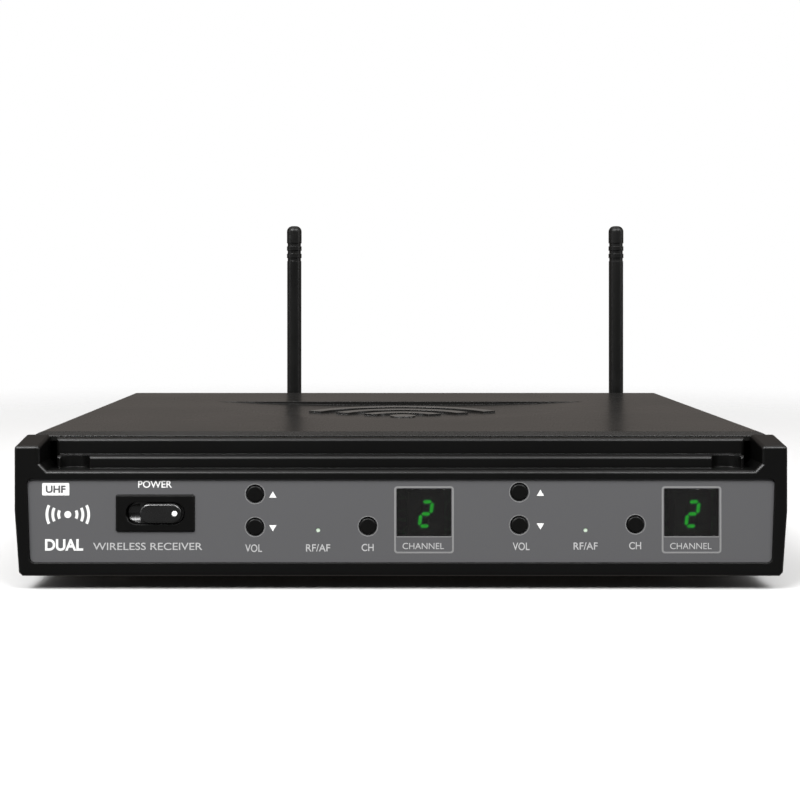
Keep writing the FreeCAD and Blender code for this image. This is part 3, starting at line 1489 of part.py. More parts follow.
def make_mix_jack():
    """The mixed-output jack: a box with a threaded sleeve, and the nut that holds it."""
    height = "dims.socket_height"
    block = box("mix_block", ("-dims.mix_body_wide / 2", "dims.mix_body_front", "-dims.mix_body_high / 2"),
                ("dims.mix_body_wide", "dims.panel_front - dims.mix_body_front", "dims.mix_body_high"))
    sleeve = cylinder("mix_sleeve", ("0", "dims.mix_bore_front", "0"), "dims.mix_thread_radius",
                      "dims.mix_mouth - dims.mix_bore_front", ALONG_Y)
    bore = cylinder("mix_bore", ("0", "dims.mix_bore_front", "0"), "dims.mix_bore_radius",
                    f"dims.mix_mouth - dims.mix_bore_front + {BEYOND}", ALONG_Y)
    jack = cut("mix_jack", fuse("mix_blank", [block, sleeve]), [bore])
    sub_part(jack, "mix_jack_body", x="dims.mix_x", z=height)

    nut = hexagon("mix_hexagon", ("0", "dims.panel_back", "0"), "dims.mix_nut_corner",
                  "dims.mix_nut_back - dims.panel_back")
    thread = cylinder("mix_nut_thread", ("0", "dims.panel_front", "0"),
                      "dims.mix_thread_radius + dims.thread_gap", f"2 * {BEYOND}", ALONG_Y)
    sub_part(cut("mix_nut", nut, [thread]), "mix_jack_nut", x="dims.mix_x", z=height)


def make_power_inlet():
    """The DC inlet behind its hole in the rear panel, and its centre pin."""
    block = box("inlet_block", ("-dims.inlet_wide / 2", "dims.inlet_front", "-dims.inlet_high / 2"),
                ("dims.inlet_wide", "dims.inlet_back - dims.inlet_front", "dims.inlet_high"))
    bore = cylinder("inlet_bore", ("0", "dims.inlet_bore_front", "0"), "dims.inlet_bore_radius",
                    f"dims.inlet_back - dims.inlet_bore_front + {BEYOND}", ALONG_Y)
    sub_part(cut("inlet", block, [bore]), "power_inlet_body", x="dims.inlet_x", z="dims.inlet_height")
    pin = cylinder("inlet_pin", ORIGIN, "dims.inlet_pin_radius",
                   "dims.inlet_pin_back - dims.inlet_bore_front", ALONG_Y)
    sub_part(pin, "power_inlet_pin", x="dims.inlet_x", y="dims.inlet_bore_front",
             z="dims.inlet_height")


def squelch_places():
    """X of the two squelch trimmers."""
    return [f"dims.squelch_x + {side}dims.squelch_spacing / 2" for side in ("-", "")]


def make_squelch_trimmers():
    """Two trimmers behind the rear panel, whose slotted shafts come through it."""
    bodies = []
    for channel, x in zip("ab", squelch_places()):
        block = box(f"squelch_{channel}_block",
                    (f"{x} - dims.squelch_body_wide / 2", "dims.squelch_body_front",
                     "dims.socket_height - dims.squelch_body_high / 2"),
                    ("dims.squelch_body_wide", "dims.squelch_body_back - dims.squelch_body_front",
                     "dims.squelch_body_high"))
        bore = cylinder(f"squelch_{channel}_bore", (x, "dims.squelch_shaft_front", "dims.socket_height"),
                        "dims.squelch_shaft_radius + dims.running_gap", f"2 * {BEYOND}", ALONG_Y)
        bodies.append(cut(f"squelch_{channel}_body", block, [bore]))

        front = "dims.squelch_shaft_front + dims.running_gap"
        shaft = cylinder(f"squelch_{channel}_rod", ("0", front, "0"), "dims.squelch_shaft_radius",
                         f"dims.squelch_shaft_back - ({front})", ALONG_Y)
        slot = box(f"squelch_{channel}_slot",
                   ("-dims.squelch_slot_wide / 2", "dims.squelch_shaft_back - dims.squelch_slot_deep",
                    f"-{BEYOND}"),
                   ("dims.squelch_slot_wide", f"{BEYOND}", f"2 * {BEYOND}"))
        sub_part(cut(f"squelch_{channel}_shaft", shaft, [slot]), f"squelch_trimmer_{channel}",
                 x=x, z="dims.socket_height")
    sub_part(group("squelch_bodies", bodies), "squelch_bodies")


# ---------------------------------------------------------------- antennas

def make_antenna_mounts():
    """Bushings through the rear panel and their nuts; both antennas have the same."""
    bushings, nuts = [], []
    for channel, x in ANTENNAS.items():
        place = (x, "0", "dims.antenna_height")
        bushing = turned(f"bushing_{channel}", [
            ("dims.spindle_radius + dims.running_gap", "dims.bushing_front"),
            ("dims.bushing_flange_radius", "dims.bushing_front"),
            ("dims.bushing_flange_radius", "dims.panel_front"),
            ("dims.bushing_radius", "dims.panel_front"),
            ("dims.bushing_radius", "dims.bushing_back"),
            ("dims.spindle_radius + dims.running_gap", "dims.bushing_back"),
        ], role="XY_Plane")
        bushings.append(move(bushing, *place))
        nut = hexagon(f"antenna_hexagon_{channel}", (x, "dims.panel_back", "dims.antenna_height"),
                      "dims.antenna_nut_corner", "dims.antenna_nut_back - dims.panel_back")
        thread = cylinder(f"antenna_thread_{channel}",
                          (x, "dims.panel_front", "dims.antenna_height"),
                          "dims.bushing_radius + dims.thread_gap", f"2 * {BEYOND}", ALONG_Y)
        nuts.append(cut(f"antenna_nut_{channel}", nut, [thread]))
    sub_part(group("antenna_bushings", bushings), "antenna_bushings")
    sub_part(group("antenna_nuts", nuts), "antenna_nuts")


def antenna_elbow(channel):
    """The swivelling knuckle: a spindle with a spread end, a round base and two ears."""
    spindle = cylinder(f"spindle_{channel}", ("0", "dims.spindle_head_front", "0"), "dims.spindle_radius",
                       "dims.elbow_front - dims.spindle_head_front + 1", ALONG_Y)
    head = cylinder(f"spindle_head_{channel}", ("0", "dims.spindle_head_front", "0"),
                    "dims.spindle_head_radius", "dims.spindle_head_back - dims.spindle_head_front", ALONG_Y)
    base = cylinder(f"elbow_base_{channel}", ("0", "dims.elbow_front", "0"), "dims.elbow_radius",
                    "dims.elbow_shoulder - dims.elbow_front", ALONG_Y)
    fork = box(f"fork_{channel}", ("-dims.ear_outer", "dims.elbow_shoulder - 1", "-dims.ear_radius"),
               ("2 * dims.ear_outer", "dims.pivot_depth - dims.elbow_shoulder + 1", "2 * dims.ear_radius"))
    fork_end = cylinder(f"fork_end_{channel}", ("-dims.ear_outer", "dims.pivot_depth", "0"),
                        "dims.ear_radius", "2 * dims.ear_outer", ALONG_X)
    slot = box(f"fork_slot_{channel}", ("-dims.ear_inner", "dims.elbow_shoulder", "-2 * dims.ear_radius"),
               ("2 * dims.ear_inner", "4 * dims.ear_radius", "4 * dims.ear_radius"))
    pin_hole = cylinder(f"fork_hole_{channel}", ("-2 * dims.ear_outer", "dims.pivot_depth", "0"),
                        "dims.hinge_hole_radius", "4 * dims.ear_outer", ALONG_X)
    blank = fuse(f"elbow_blank_{channel}", [spindle, head, base, fork, fork_end])
    return cut(f"elbow_{channel}", blank, [slot, pin_hole])


def whip_rod(channel):
    """The whip's round part: a plain rod, rings near the tip, and a rounded cap."""
    tip = "(dims.whip_tip_height - dims.antenna_height)"
    cap_bottom = f"{tip} - dims.whip_cap_long"
    profile = [
        ("0", "dims.whip_root"),
        ("dims.whip_radius", "dims.whip_root"),
    ]
    rings = int(size_of("dims.whip_ring_count"))
    groove = "(dims.whip_ring_pitch - dims.whip_ring_long)"
    for number in range(rings, 0, -1):
        ring_top = f"{cap_bottom} - {number} * dims.whip_ring_pitch + dims.whip_ring_long"
        ring_bottom = f"{cap_bottom} - {number} * dims.whip_ring_pitch"
        if number == rings:
            profile.append(("dims.whip_radius", f"{ring_bottom} - {groove}"))
            profile.append(("dims.whip_neck_radius", f"{ring_bottom} - {groove}"))
        profile.append(("dims.whip_neck_radius", ring_bottom))
        profile.append(("dims.whip_cap_radius", ring_bottom))
        profile.append(("dims.whip_cap_radius", ring_top))
        profile.append(("dims.whip_neck_radius", ring_top))
    profile += [
        ("dims.whip_neck_radius", cap_bottom),
        ("dims.whip_cap_radius", cap_bottom),
        ("dims.whip_cap_radius", tip),
        ("0", tip),
    ]
    rod = turned(f"whip_rod_{channel}", profile)
    doc.recompute()
    round_edges(rod, "dims.whip_tip_round", lambda edge: lies_at(edge, "z", tip))
    return rod


def make_antennas():
    """Two whips, each hinged on an elbow that swivels in its bushing."""
    for channel, x in ANTENNAS.items():
        sub_part(antenna_elbow(channel), f"antenna_elbow_{channel}", x=x, z="dims.antenna_height")
        hinge_pin = cylinder(f"hinge_pin_{channel}", ORIGIN, "dims.hinge_pin_radius",
                             "2 * dims.ear_outer")
        hinge_pin.Placement = Placement(Vector(), ALONG_X)
        sub_part(hinge_pin, f"antenna_hinge_pin_{channel}", x=f"{x} - dims.ear_outer",
                 y="dims.pivot_depth", z="dims.antenna_height")

        half = "dims.whip_tongue_thick / 2"
        tongue = box(f"whip_tongue_{channel}", (f"-{half}", "-dims.whip_tongue_radius", "0"),
                     ("dims.whip_tongue_thick", "2 * dims.whip_tongue_radius", "dims.whip_root"))
        tongue_end = cylinder(f"whip_tongue_end_{channel}", (f"-{half}", "0", "0"),
                              "dims.whip_tongue_radius", "dims.whip_tongue_thick", ALONG_X)
        shoulder = cylinder(f"whip_shoulder_{channel}", ("0", "0", "dims.whip_root"),
                            "dims.whip_tongue_radius", "dims.whip_shoulder_long")
        hole = cylinder(f"whip_hole_{channel}", ("-2 * dims.ear_outer", "0", "0"),
                        "dims.hinge_pin_radius + dims.running_gap", "4 * dims.ear_outer", ALONG_X)
        blank = fuse(f"whip_blank_{channel}", [whip_rod(channel), tongue, tongue_end, shoulder])
        sub_part(cut(f"whip_{channel}", blank, [hole]), f"antenna_whip_{channel}",
                 x=x, y="dims.pivot_depth", z="dims.antenna_height")


# ---------------------------------------------------------------- checks and files

def check_model():
    """Stop if any object failed to build, or a sub-part's shape is missing or broken."""
    doc.recompute()
    for item in doc.Objects:
        if "Invalid" in item.State or "Error" in item.State:
            raise RuntimeError(f"{item.Name} did not build: {item.State}")
    for item in sub_parts:
        if item.Shape.isNull() or not item.Shape.isValid() or not item.Shape.Solids:
            raise RuntimeError(f"{item.Label} has no valid shape")


def write_parts():
    """One STEP file for each sub-part."""
    os.makedirs("parts", exist_ok=True)
    for item in sub_parts:
        item.Shape.exportStep(f"parts/{item.Label}.step")


make_front_bezel()
make_face_plate()
make_display_windows()
make_push_buttons()
make_tact_switches()
make_signal_lamps()
make_power_switch()
make_power_rocker()
make_displays()
make_bottom_tray()
make_top_cover()
make_rear_panel()
make_case_fixings()
sub_part(group("board_screws", make_front_board() + make_main_board()), "board_screws")
make_receiver_modules()
make_board_components()
make_inner_leads()
make_output_sockets()
make_mix_jack()
make_power_inlet()
make_squelch_trimmers()
make_antenna_mounts()
make_antennas()
check_model()
write_parts()
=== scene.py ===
"""A half-rack wireless microphone receiver: its looks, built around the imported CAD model.

Every CAD node keeps its own shape and gets a finish here. The printed legends, the lines round the
display windows, the dot on the rocker and the thread on the jack are pieces of this script.
Lengths are in metres, with +X to the right seen from the front, +Y to the back and +Z up.
"""

import json
import math

import bmesh
import bpy
from mathutils import Matrix, Vector
from mathutils.bvhtree import BVHTree


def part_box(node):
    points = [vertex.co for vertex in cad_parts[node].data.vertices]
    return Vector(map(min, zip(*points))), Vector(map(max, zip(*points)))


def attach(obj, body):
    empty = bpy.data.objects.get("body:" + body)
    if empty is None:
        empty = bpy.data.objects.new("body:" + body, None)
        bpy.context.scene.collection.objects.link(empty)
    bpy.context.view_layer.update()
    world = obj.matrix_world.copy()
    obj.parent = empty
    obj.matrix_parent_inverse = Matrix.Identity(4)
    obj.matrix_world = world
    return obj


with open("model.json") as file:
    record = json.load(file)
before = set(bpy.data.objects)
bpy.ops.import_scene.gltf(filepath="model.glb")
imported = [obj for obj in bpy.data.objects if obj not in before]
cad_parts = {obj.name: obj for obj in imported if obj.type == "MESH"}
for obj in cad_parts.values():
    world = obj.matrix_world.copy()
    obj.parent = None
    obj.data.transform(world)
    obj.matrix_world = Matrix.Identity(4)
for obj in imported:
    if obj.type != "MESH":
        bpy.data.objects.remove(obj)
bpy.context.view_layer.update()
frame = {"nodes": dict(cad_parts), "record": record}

MM = 0.001

# ---------------------------------------------------------------- places taken from the frame

PLATE_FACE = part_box("face_plate")[0].y
PANEL_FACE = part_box("rear_panel")[1].y
BEZEL_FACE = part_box("front_bezel")[0].y
CHANNELS = ("a", "b")


def centre_of(node_name):
    """The middle of a CAD node's box."""
    low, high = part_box(node_name)
    return (low + high) / 2


# ---------------------------------------------------------------- shader helpers

def set_inputs(tree, made, inputs):
    """Sets a node's inputs, by name or place, to values, or links them to sockets."""
    for name, value in inputs.items():
        socket = made.inputs[name]
        if isinstance(value, bpy.types.NodeSocket):
            tree.links.new(value, socket)
        else:
            socket.default_value = value


def node(tree, kind, inputs=None, **settings):
    """Adds a shader node. Inputs are values or sockets, by name or place."""
    made = tree.nodes.new(kind)
    for name, value in settings.items():
        setattr(made, name, value)
    set_inputs(tree, made, inputs or {})
    return made


def place(tree):
    """The point being shaded, in the model's own space, in metres."""
    return node(tree, "ShaderNodeTexCoord").outputs["Object"]


def noise(tree, size, detail=2.0, stretch=(1, 1, 1)):
    """Soft noise from 0 to 1 with features of about that size; stretch above 1 squeezes an axis."""
    where = node(tree, "ShaderNodeMapping", {"Vector": place(tree), "Scale": stretch}).outputs[0]
    return node(tree, "ShaderNodeTexNoise",
                {"Vector": where, "Scale": 1 / size, "Detail": detail}).outputs["Fac"]


def spread(tree, value, low, high, start=0.0, stop=1.0):
    """Maps start to stop onto low to high, and holds the ends."""
    return node(tree, "ShaderNodeMapRange", {
        "Value": value, "From Min": start, "From Max": stop, "To Min": low, "To Max": high,
    }).outputs["Result"]


def maths(tree, operation, first, second=0.0):
    """One arithmetic step."""
    return node(tree, "ShaderNodeMath", {0: first, 1: second}, operation=operation).outputs[0]


def vector_maths(tree, operation, first, second=(0, 0, 0)):
    """One step with vectors; the result is a vector."""
    made = node(tree, "ShaderNodeVectorMath", {0: first, 1: second}, operation=operation)
    return made.outputs["Vector"]


def mixed(tree, share, first, second):
    """The first colour at share 0 and the second at share 1."""
    ends = [value if isinstance(value, bpy.types.NodeSocket) else (*value, 1) for value in (first, second)]
    return node(tree, "ShaderNodeMix", {0: share, 6: ends[0], 7: ends[1]}, data_type="RGBA").outputs[2]


def toned(colour, factor):
    """A colour made lighter or darker."""
    return tuple(min(1.0, part * factor) for part in colour)


EDGE_TURN = (0.80, 0.99)            # cosine of the softened normal's turn: the paler edge colour in full, and none
GLOSS_DRIFT = 0.4                   # how much the broad patches change the roughness, times uneven
GLOSS_GRAIN = 0.06                  # how much the fine grain changes it


def finish(name, colour, roughness, metallic=0.0, specular=0.5, coat=0.0, sheen=0.0, grain=0.3 * MM,
           depth=0.01 * MM, stretch=(1, 1, 1), patch=14 * MM, uneven=0.15, rub_and_highlight=0.0, rub_and_highlight_colour=None,
           rounded=0.25 * MM):
    """A surface with fine grain, broad uneven patches, rounded edges, and sharp edges painted paler: partly
    rubbing, partly a painted highlight where they catch the light.

    grain and patch are feature sizes, depth is the grain's height, uneven is how far the colour and
    the gloss drift, rub_and_highlight is how much of the paler edge colour (rubbing plus painted
    highlight) the sharp edges show, and rounded is how far the shading softens an edge."""
    material = bpy.data.materials.new(name)
    material.use_nodes = True
    tree = material.node_tree
    shader = tree.nodes["Principled BSDF"]
    fine = noise(tree, grain, detail=3.0, stretch=stretch)
    broad = noise(tree, patch, detail=4.0)
    tone = mixed(tree, broad, toned(colour, 1 - uneven), toned(colour, 1 + uneven))
    bump = {"Height": fine, "Distance": depth}
    if rounded:
        soft_normal = node(tree, "ShaderNodeBevel", {"Radius": rounded}, samples=4).outputs["Normal"]
        bump["Normal"] = soft_normal
        # Sharp edges get the paler edge colour: partly rubbing, partly a painted highlight where the edges
        # catch the light.
        if rub_and_highlight:
            flat_normal = node(tree, "ShaderNodeNewGeometry").outputs["Normal"]
            facing = node(tree, "ShaderNodeVectorMath", {0: soft_normal, 1: flat_normal},
                          operation="DOT_PRODUCT").outputs["Value"]
            edge = spread(tree, facing, rub_and_highlight, 0.0, *EDGE_TURN)
            tone = mixed(tree, maths(tree, "MULTIPLY", edge, broad), tone, rub_and_highlight_colour or toned(colour, 3))
    drift = GLOSS_DRIFT * uneven
    gloss = maths(tree, "ADD", spread(tree, broad, -drift, drift),
                  spread(tree, fine, roughness - GLOSS_GRAIN, roughness + GLOSS_GRAIN))
    set_inputs(tree, shader, {
        "Base Color": tone, "Roughness": gloss, "Metallic": metallic, "Specular IOR Level": specular,
        "Coat Weight": coat, "Sheen Weight": sheen, "Normal": node(tree, "ShaderNodeBump", bump).outputs[0],
    })
    return material


def shader_of(material):
    """A material's tree and its Principled shader."""
    return material.node_tree, material.node_tree.nodes["Principled BSDF"]


# ---------------------------------------------------------------- camera and light

VIEW_DISTANCE = 351.1 * MM          # from the camera to the bezel's front face
VIEW_HEIGHT = 81.3 * MM
VIEW_SIDE = -5.1 * MM
VIEW_LENS = 58.0                    # in millimetres, like the width of the sensor
VIEW_SENSOR = 36.0
VIEW_SHIFT = (0.0222, -0.134)       # the camera is level, and the object is low in the picture
NEAREST_SEEN = 10 * MM

BACKDROP = (1.0, 1.0, 1.0)
FRONT_WALL = (0.055, 0.054, 0.053)
BACK_WALL = (0.215, 0.193, 0.177)
WALL_BLEND = (-0.3, 0.5)            # the heading's Y where the front wall ends and the back one starts
FLOOR_GREY = (0.55, 0.55, 0.55)
FLOOR_REACH = 0.75                  # the floor is a disc that fades into the backdrop
FLOOR_FADE = 0.25                   # where the fading starts, from the middle
FLOOR_DIMMED = 0.88                 # share of the floor that reflections and bounced light don't see

AIM = (0, 0, 0.03)                  # the point that the lights face
KEY_PLACE = (-0.70, 0.95)           # Y and Z of the key lights, in front of the unit and above it
KEY_DEPTH = 0.55
KEY_LIGHTS = (
    # Name, distance to the right, width, and power in watts
    ("key_left", -0.62, 0.75, 27),
    ("key_middle", 0.0, 0.45, 4),
    ("key_right", 0.62, 0.75, 18),
)
OTHER_LIGHTS = (
    # Name, place, width and height, and power in watts
    ("cover_light", (0.0, 0.35, 1.10), (1.4, 0.5), 4),
    ("left_fill", (-1.2, -0.25, 0.45), (0.3, 0.9), 3),
    ("right_fill", (1.2, -0.15, 0.5), (0.3, 0.9), 4),
)


def make_camera():
    """A level camera in front of the unit, a little left of its middle."""
    data = bpy.data.cameras.new("camera")
    data.lens = VIEW_LENS
    data.sensor_width = VIEW_SENSOR
    data.shift_x, data.shift_y = VIEW_SHIFT
    data.clip_start = NEAREST_SEEN
    camera = bpy.data.objects.new("camera", data)
    camera.location = (VIEW_SIDE, BEZEL_FACE - VIEW_DISTANCE, VIEW_HEIGHT)
    camera.rotation_euler = (math.radians(90), 0, 0)
    bpy.context.scene.collection.objects.link(camera)
    bpy.context.scene.camera = camera


def make_soft_box(name, stand, size, power):
    """A rectangular white studio light that faces the unit."""
    data = bpy.data.lights.new(name, "AREA")
    data.shape = "RECTANGLE"
    data.size, data.size_y = size
    data.energy = power
    light = bpy.data.objects.new(name, data)
    light.location = stand
    light.rotation_euler = (Vector(AIM) - Vector(stand)).to_track_quat("-Z", "Y").to_euler()
    bpy.context.scene.collection.objects.link(light)


def make_lights():
    """A row of key lights above the front, a broad one over the cover, and two weak fills."""
    for name, across, width, power in KEY_LIGHTS:
        make_soft_box(name, (across, *KEY_PLACE), (width, KEY_DEPTH), power)
    for name, stand, size, power in OTHER_LIGHTS:
        make_soft_box(name, stand, size, power)


def make_world():
    """A white backdrop for the camera, and dim walls, lighter at the back, for the reflections."""
    world = bpy.data.worlds.new("studio")
    world.use_nodes = True
    tree = world.node_tree
    output = tree.nodes["World Output"]
    heading = node(tree, "ShaderNodeTexCoord").outputs["Generated"]
    backward = node(tree, "ShaderNodeSeparateXYZ", {0: heading}).outputs["Y"]
    back = spread(tree, backward, 0.0, 1.0, *WALL_BLEND)
    walls = node(tree, "ShaderNodeBackground", {"Color": mixed(tree, back, FRONT_WALL, BACK_WALL)})
    backdrop = node(tree, "ShaderNodeBackground", {"Color": (*BACKDROP, 1)})
    seen = node(tree, "ShaderNodeLightPath").outputs["Is Camera Ray"]
    chosen = node(tree, "ShaderNodeMixShader", {0: seen, 1: walls.outputs[0], 2: backdrop.outputs[0]})
    tree.links.new(chosen.outputs[0], output.inputs["Surface"])
    bpy.context.scene.world = world


def floor_paint():
    """Pale matt paint that fades to clear away from the middle, and is dimmer in reflections."""
    material = finish("floor_paint", FLOOR_GREY, 0.6, specular=0.2, grain=0.4 * MM, depth=0.01 * MM,
                      patch=300 * MM, uneven=0.01, rounded=0)
    tree, shader = shader_of(material)
    away = node(tree, "ShaderNodeVectorMath", {0: place(tree)}, operation="LENGTH").outputs["Value"]
    share = node(tree, "ShaderNodeMapRange", {
        "Value": away, "From Min": FLOOR_FADE, "From Max": FLOOR_REACH}, interpolation_type="SMOOTHSTEP")
    seen = node(tree, "ShaderNodeLightPath").outputs["Is Camera Ray"]
    dimmed = spread(tree, seen, FLOOR_DIMMED, 0.0)
    clear = node(tree, "ShaderNodeBsdfTransparent")
    hidden = maths(tree, "MAXIMUM", share.outputs["Result"], dimmed)
    faded = node(tree, "ShaderNodeMixShader", {0: hidden, 1: shader.outputs[0], 2: clear.outputs[0]})
    tree.links.new(faded.outputs[0], tree.nodes["Material Output"].inputs["Surface"])
    return material


def make_floor():
    """A round pale floor."""
    mesh = bpy.data.meshes.new("floor")
    rim = [(x, y, 0) for x, y in circle_outline(FLOOR_REACH, steps=96)]
    mesh.from_pydata(rim, [], [list(range(len(rim)))])
    floor = bpy.data.objects.new("floor", mesh)
    bpy.context.scene.collection.objects.link(floor)
    mesh.materials.append(floor_paint())


# ---------------------------------------------------------------- finishes

def bezel_plastic():
    """Satin black moulding, almost smooth."""
    return finish("bezel_plastic", (0.0008, 0.0008, 0.0007), 0.34, specular=0.29, grain=0.35 * MM,
                  depth=0.003 * MM, patch=30 * MM, uneven=0.12, rub_and_highlight=0.2, rub_and_highlight_colour=(0.02, 0.018, 0.017),
                  rounded=0.35 * MM)


DISH_CENTRE = (1.5 * MM, BEZEL_FACE + 114.5 * MM)
DISH_INSIDE = 65 * MM               # just inside the rim of the dish, which lies in front of its centre
EMBLEM_GREY = (0.045, 0.044, 0.042)
EMBLEM_TOP = (-0.03 * MM, -0.01 * MM)       # heights against the cover's top where the paler grey starts
EMBLEM_BACK = (-0.2 * MM, -0.1 * MM)        # places against the dish's centre where it ends
EMBLEM_RIM = (DISH_INSIDE, DISH_INSIDE + 0.2 * MM)


def cover_plastic():
    """Black moulding with a fine texture; the emblem's flat top in the dish is a paler grey."""
    material = finish("cover_plastic", (0.0050, 0.0048, 0.0045), 0.27, specular=0.45, grain=0.5 * MM,
                      depth=0.010 * MM, patch=45 * MM, uneven=0.16, rub_and_highlight=0.3, rub_and_highlight_colour=(0.05, 0.047, 0.044))
    tree, shader = shader_of(material)
    from_centre = vector_maths(tree, "SUBTRACT", place(tree), (*DISH_CENTRE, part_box("top_cover")[1].z))
    away = node(tree, "ShaderNodeVectorMath", {0: from_centre}, operation="LENGTH").outputs["Value"]
    parts = node(tree, "ShaderNodeSeparateXYZ", {0: from_centre})
    on_top = spread(tree, parts.outputs["Z"], 0.0, 1.0, *EMBLEM_TOP)
    in_front = spread(tree, parts.outputs["Y"], 1.0, 0.0, *EMBLEM_BACK)
    inside = spread(tree, away, 1.0, 0.0, *EMBLEM_RIM)
    on_emblem = maths(tree, "MULTIPLY", maths(tree, "MULTIPLY", on_top, in_front), inside)
    moulded = shader.inputs["Base Color"].links[0].from_socket
    tree.links.new(mixed(tree, on_emblem, moulded, EMBLEM_GREY), shader.inputs["Base Color"])
    return material


PLATE_GREY = (0.080, 0.080, 0.083)


def plate_paint():
    """Satin grey paint with a slight orange peel and fine flecks."""
    return finish("plate_paint", PLATE_GREY, 0.46, specular=0.30, grain=0.22 * MM,
                  depth=0.004 * MM, patch=60 * MM, uneven=0.03, rub_and_highlight=0.35, rub_and_highlight_colour=(0.34, 0.335, 0.33))


def smoked_acrylic():
    """Dark clear plastic."""
    material = finish("smoked_acrylic", (0.22, 0.22, 0.21), 0.07, specular=0.3, grain=3 * MM,
                      depth=0.002 * MM, patch=6 * MM, uneven=0.02)
    tree, shader = shader_of(material)
    shader.inputs["Transmission Weight"].default_value = 1.0
    shader.inputs["IOR"].default_value = 1.60
    return material


def control_plastic():
    """Satin black plastic of buttons, frames and sockets."""
    return finish("control_plastic", (0.0020, 0.0020, 0.0019), 0.36, specular=0.2, grain=0.18 * MM,
                  depth=0.004 * MM, patch=3 * MM, uneven=0.15, rub_and_highlight=0.4, rub_and_highlight_colour=(0.03, 0.03, 0.029))


def rocker_plastic():
    """Glossy black plastic, polished by fingers."""
    return finish("rocker_plastic", (0.004, 0.004, 0.004), 0.26, specular=0.6, coat=0.2, grain=0.5 * MM,
                  depth=0.002 * MM, patch=4 * MM, uneven=0.3, rub_and_highlight=0.4, rub_and_highlight_colour=(0.04, 0.04, 0.038))


SHIMMER = 0.2                       # share by which a lit surface is brighter and darker in places


def glowing(name, colour, light, strength):
    """A lit lens that is a little brighter in some places than in others."""
    material = finish(name, colour, 0.25, grain=0.4 * MM, depth=0.004 * MM, patch=1.5 * MM, uneven=0.1)
    tree, shader = shader_of(material)
    shader.inputs["Emission Color"].default_value = (*light, 1)
    brightness = spread(tree, noise(tree, 0.9 * MM), (1 - SHIMMER) * strength, (1 + SHIMMER) * strength,
                        0.3, 0.7)
    tree.links.new(brightness, shader.inputs["Emission Strength"])
    return material


def lamp_lens():
    """The tip of a light-emitting diode, whitish with a green cast."""
    return glowing("lamp_lens", (0.38, 0.42, 0.37), (0.74, 1.0, 0.72), 0.32)


def segment_lit():
    """A digit's lit segment."""
    return glowing("segment_lit", (0.02, 0.12, 0.02), (0.03, 1.0, 0.06), 1.25)


def segment_dark():
    """A digit's unlit segment: a faint green-grey."""
    return finish("segment_dark", (0.010, 0.014, 0.010), 0.35, grain=0.3 * MM, depth=0.003 * MM,
                  patch=1 * MM)


BOARD_GREEN = (0.012, 0.10, 0.035)
TRACK_GREEN = (0.03, 0.19, 0.06)
TRACK_SPACING = 4 * MM
TRACK_EDGE = (0.05, 0.08)           # from a track's middle line, in spacings: full colour, and none
VIA_TIN = (0.55, 0.54, 0.50)
VIA_SPACING = 2.54 * MM
VIA_EDGE = (0.14, 0.18)             # the same from a via's middle


def circuit_board():
    """Green solder mask over copper tracks, with tinned vias in a regular grid."""
    material = finish("circuit_board", BOARD_GREEN, 0.30, grain=0.2 * MM, depth=0.004 * MM,
                      patch=9 * MM, uneven=0.12, rounded=0)
    tree, shader = shader_of(material)
    gaps = node(tree, "ShaderNodeTexVoronoi", {"Vector": place(tree), "Scale": 1 / TRACK_SPACING},
                feature="DISTANCE_TO_EDGE").outputs["Distance"]
    track = spread(tree, gaps, 1.0, 0.0, *TRACK_EDGE)
    dots = node(tree, "ShaderNodeTexVoronoi", {
        "Vector": place(tree), "Scale": 1 / VIA_SPACING, "Randomness": 0.0}).outputs["Distance"]
    via = spread(tree, dots, 1.0, 0.0, *VIA_EDGE)
    tracked = mixed(tree, track, BOARD_GREEN, TRACK_GREEN)
    tree.links.new(mixed(tree, via, tracked, VIA_TIN), shader.inputs["Base Color"])
    tree.links.new(via, shader.inputs["Metallic"])
    return material


def tinned_steel():
    """Thin tin plate with a spangle and faint rolling lines."""
    return finish("tinned_steel", (0.60, 0.60, 0.58), 0.30, metallic=1.0, grain=0.25 * MM, depth=0.004 * MM,
                  stretch=(1, 0.08, 1), patch=5 * MM, uneven=0.18, rub_and_highlight=0.2, rub_and_highlight_colour=(0.75, 0.75, 0.72))


def screw_steel():
    """Zinc-plated steel, turned and slightly dull."""
    return finish("screw_steel", (0.40, 0.40, 0.41), 0.34, metallic=1.0, grain=0.15 * MM, depth=0.005 * MM,
                  patch=1.5 * MM, uneven=0.2, rub_and_highlight=0.5, rub_and_highlight_colour=(0.65, 0.64, 0.60))


def foot_rubber():
    """Matt black rubber with a chalky bloom."""
    return finish("foot_rubber", (0.018, 0.018, 0.018), 0.80, specular=0.25, sheen=0.2, grain=0.3 * MM,
                  depth=0.03 * MM, patch=4 * MM, uneven=0.25, rub_and_highlight=0.4, rub_and_highlight_colour=(0.06, 0.058, 0.055))


def socket_nickel():
    """Satin nickel plating with fine casting grain."""
    return finish("socket_nickel", (0.50, 0.49, 0.46), 0.28, metallic=1.0, grain=0.2 * MM, depth=0.006 * MM,
                  patch=6 * MM, uneven=0.15, rub_and_highlight=0.5, rub_and_highlight_colour=(0.72, 0.71, 0.68))


def contact_silver():
    """Polished silver plating, lightly tarnished."""
    return finish("contact_silver", (0.75, 0.74, 0.70), 0.20, metallic=1.0, grain=0.2 * MM,
                  depth=0.003 * MM, stretch=(1, 0.1, 1), patch=2 * MM, uneven=0.15)


def brass_nickel():
    """Turned brass under thin nickel."""
    return finish("brass_nickel", (0.60, 0.52, 0.34), 0.28, metallic=1.0, grain=0.2 * MM, depth=0.005 * MM,
                  stretch=(1, 6, 1), patch=3 * MM, uneven=0.15, rub_and_highlight=0.4, rub_and_highlight_colour=(0.75, 0.60, 0.30))


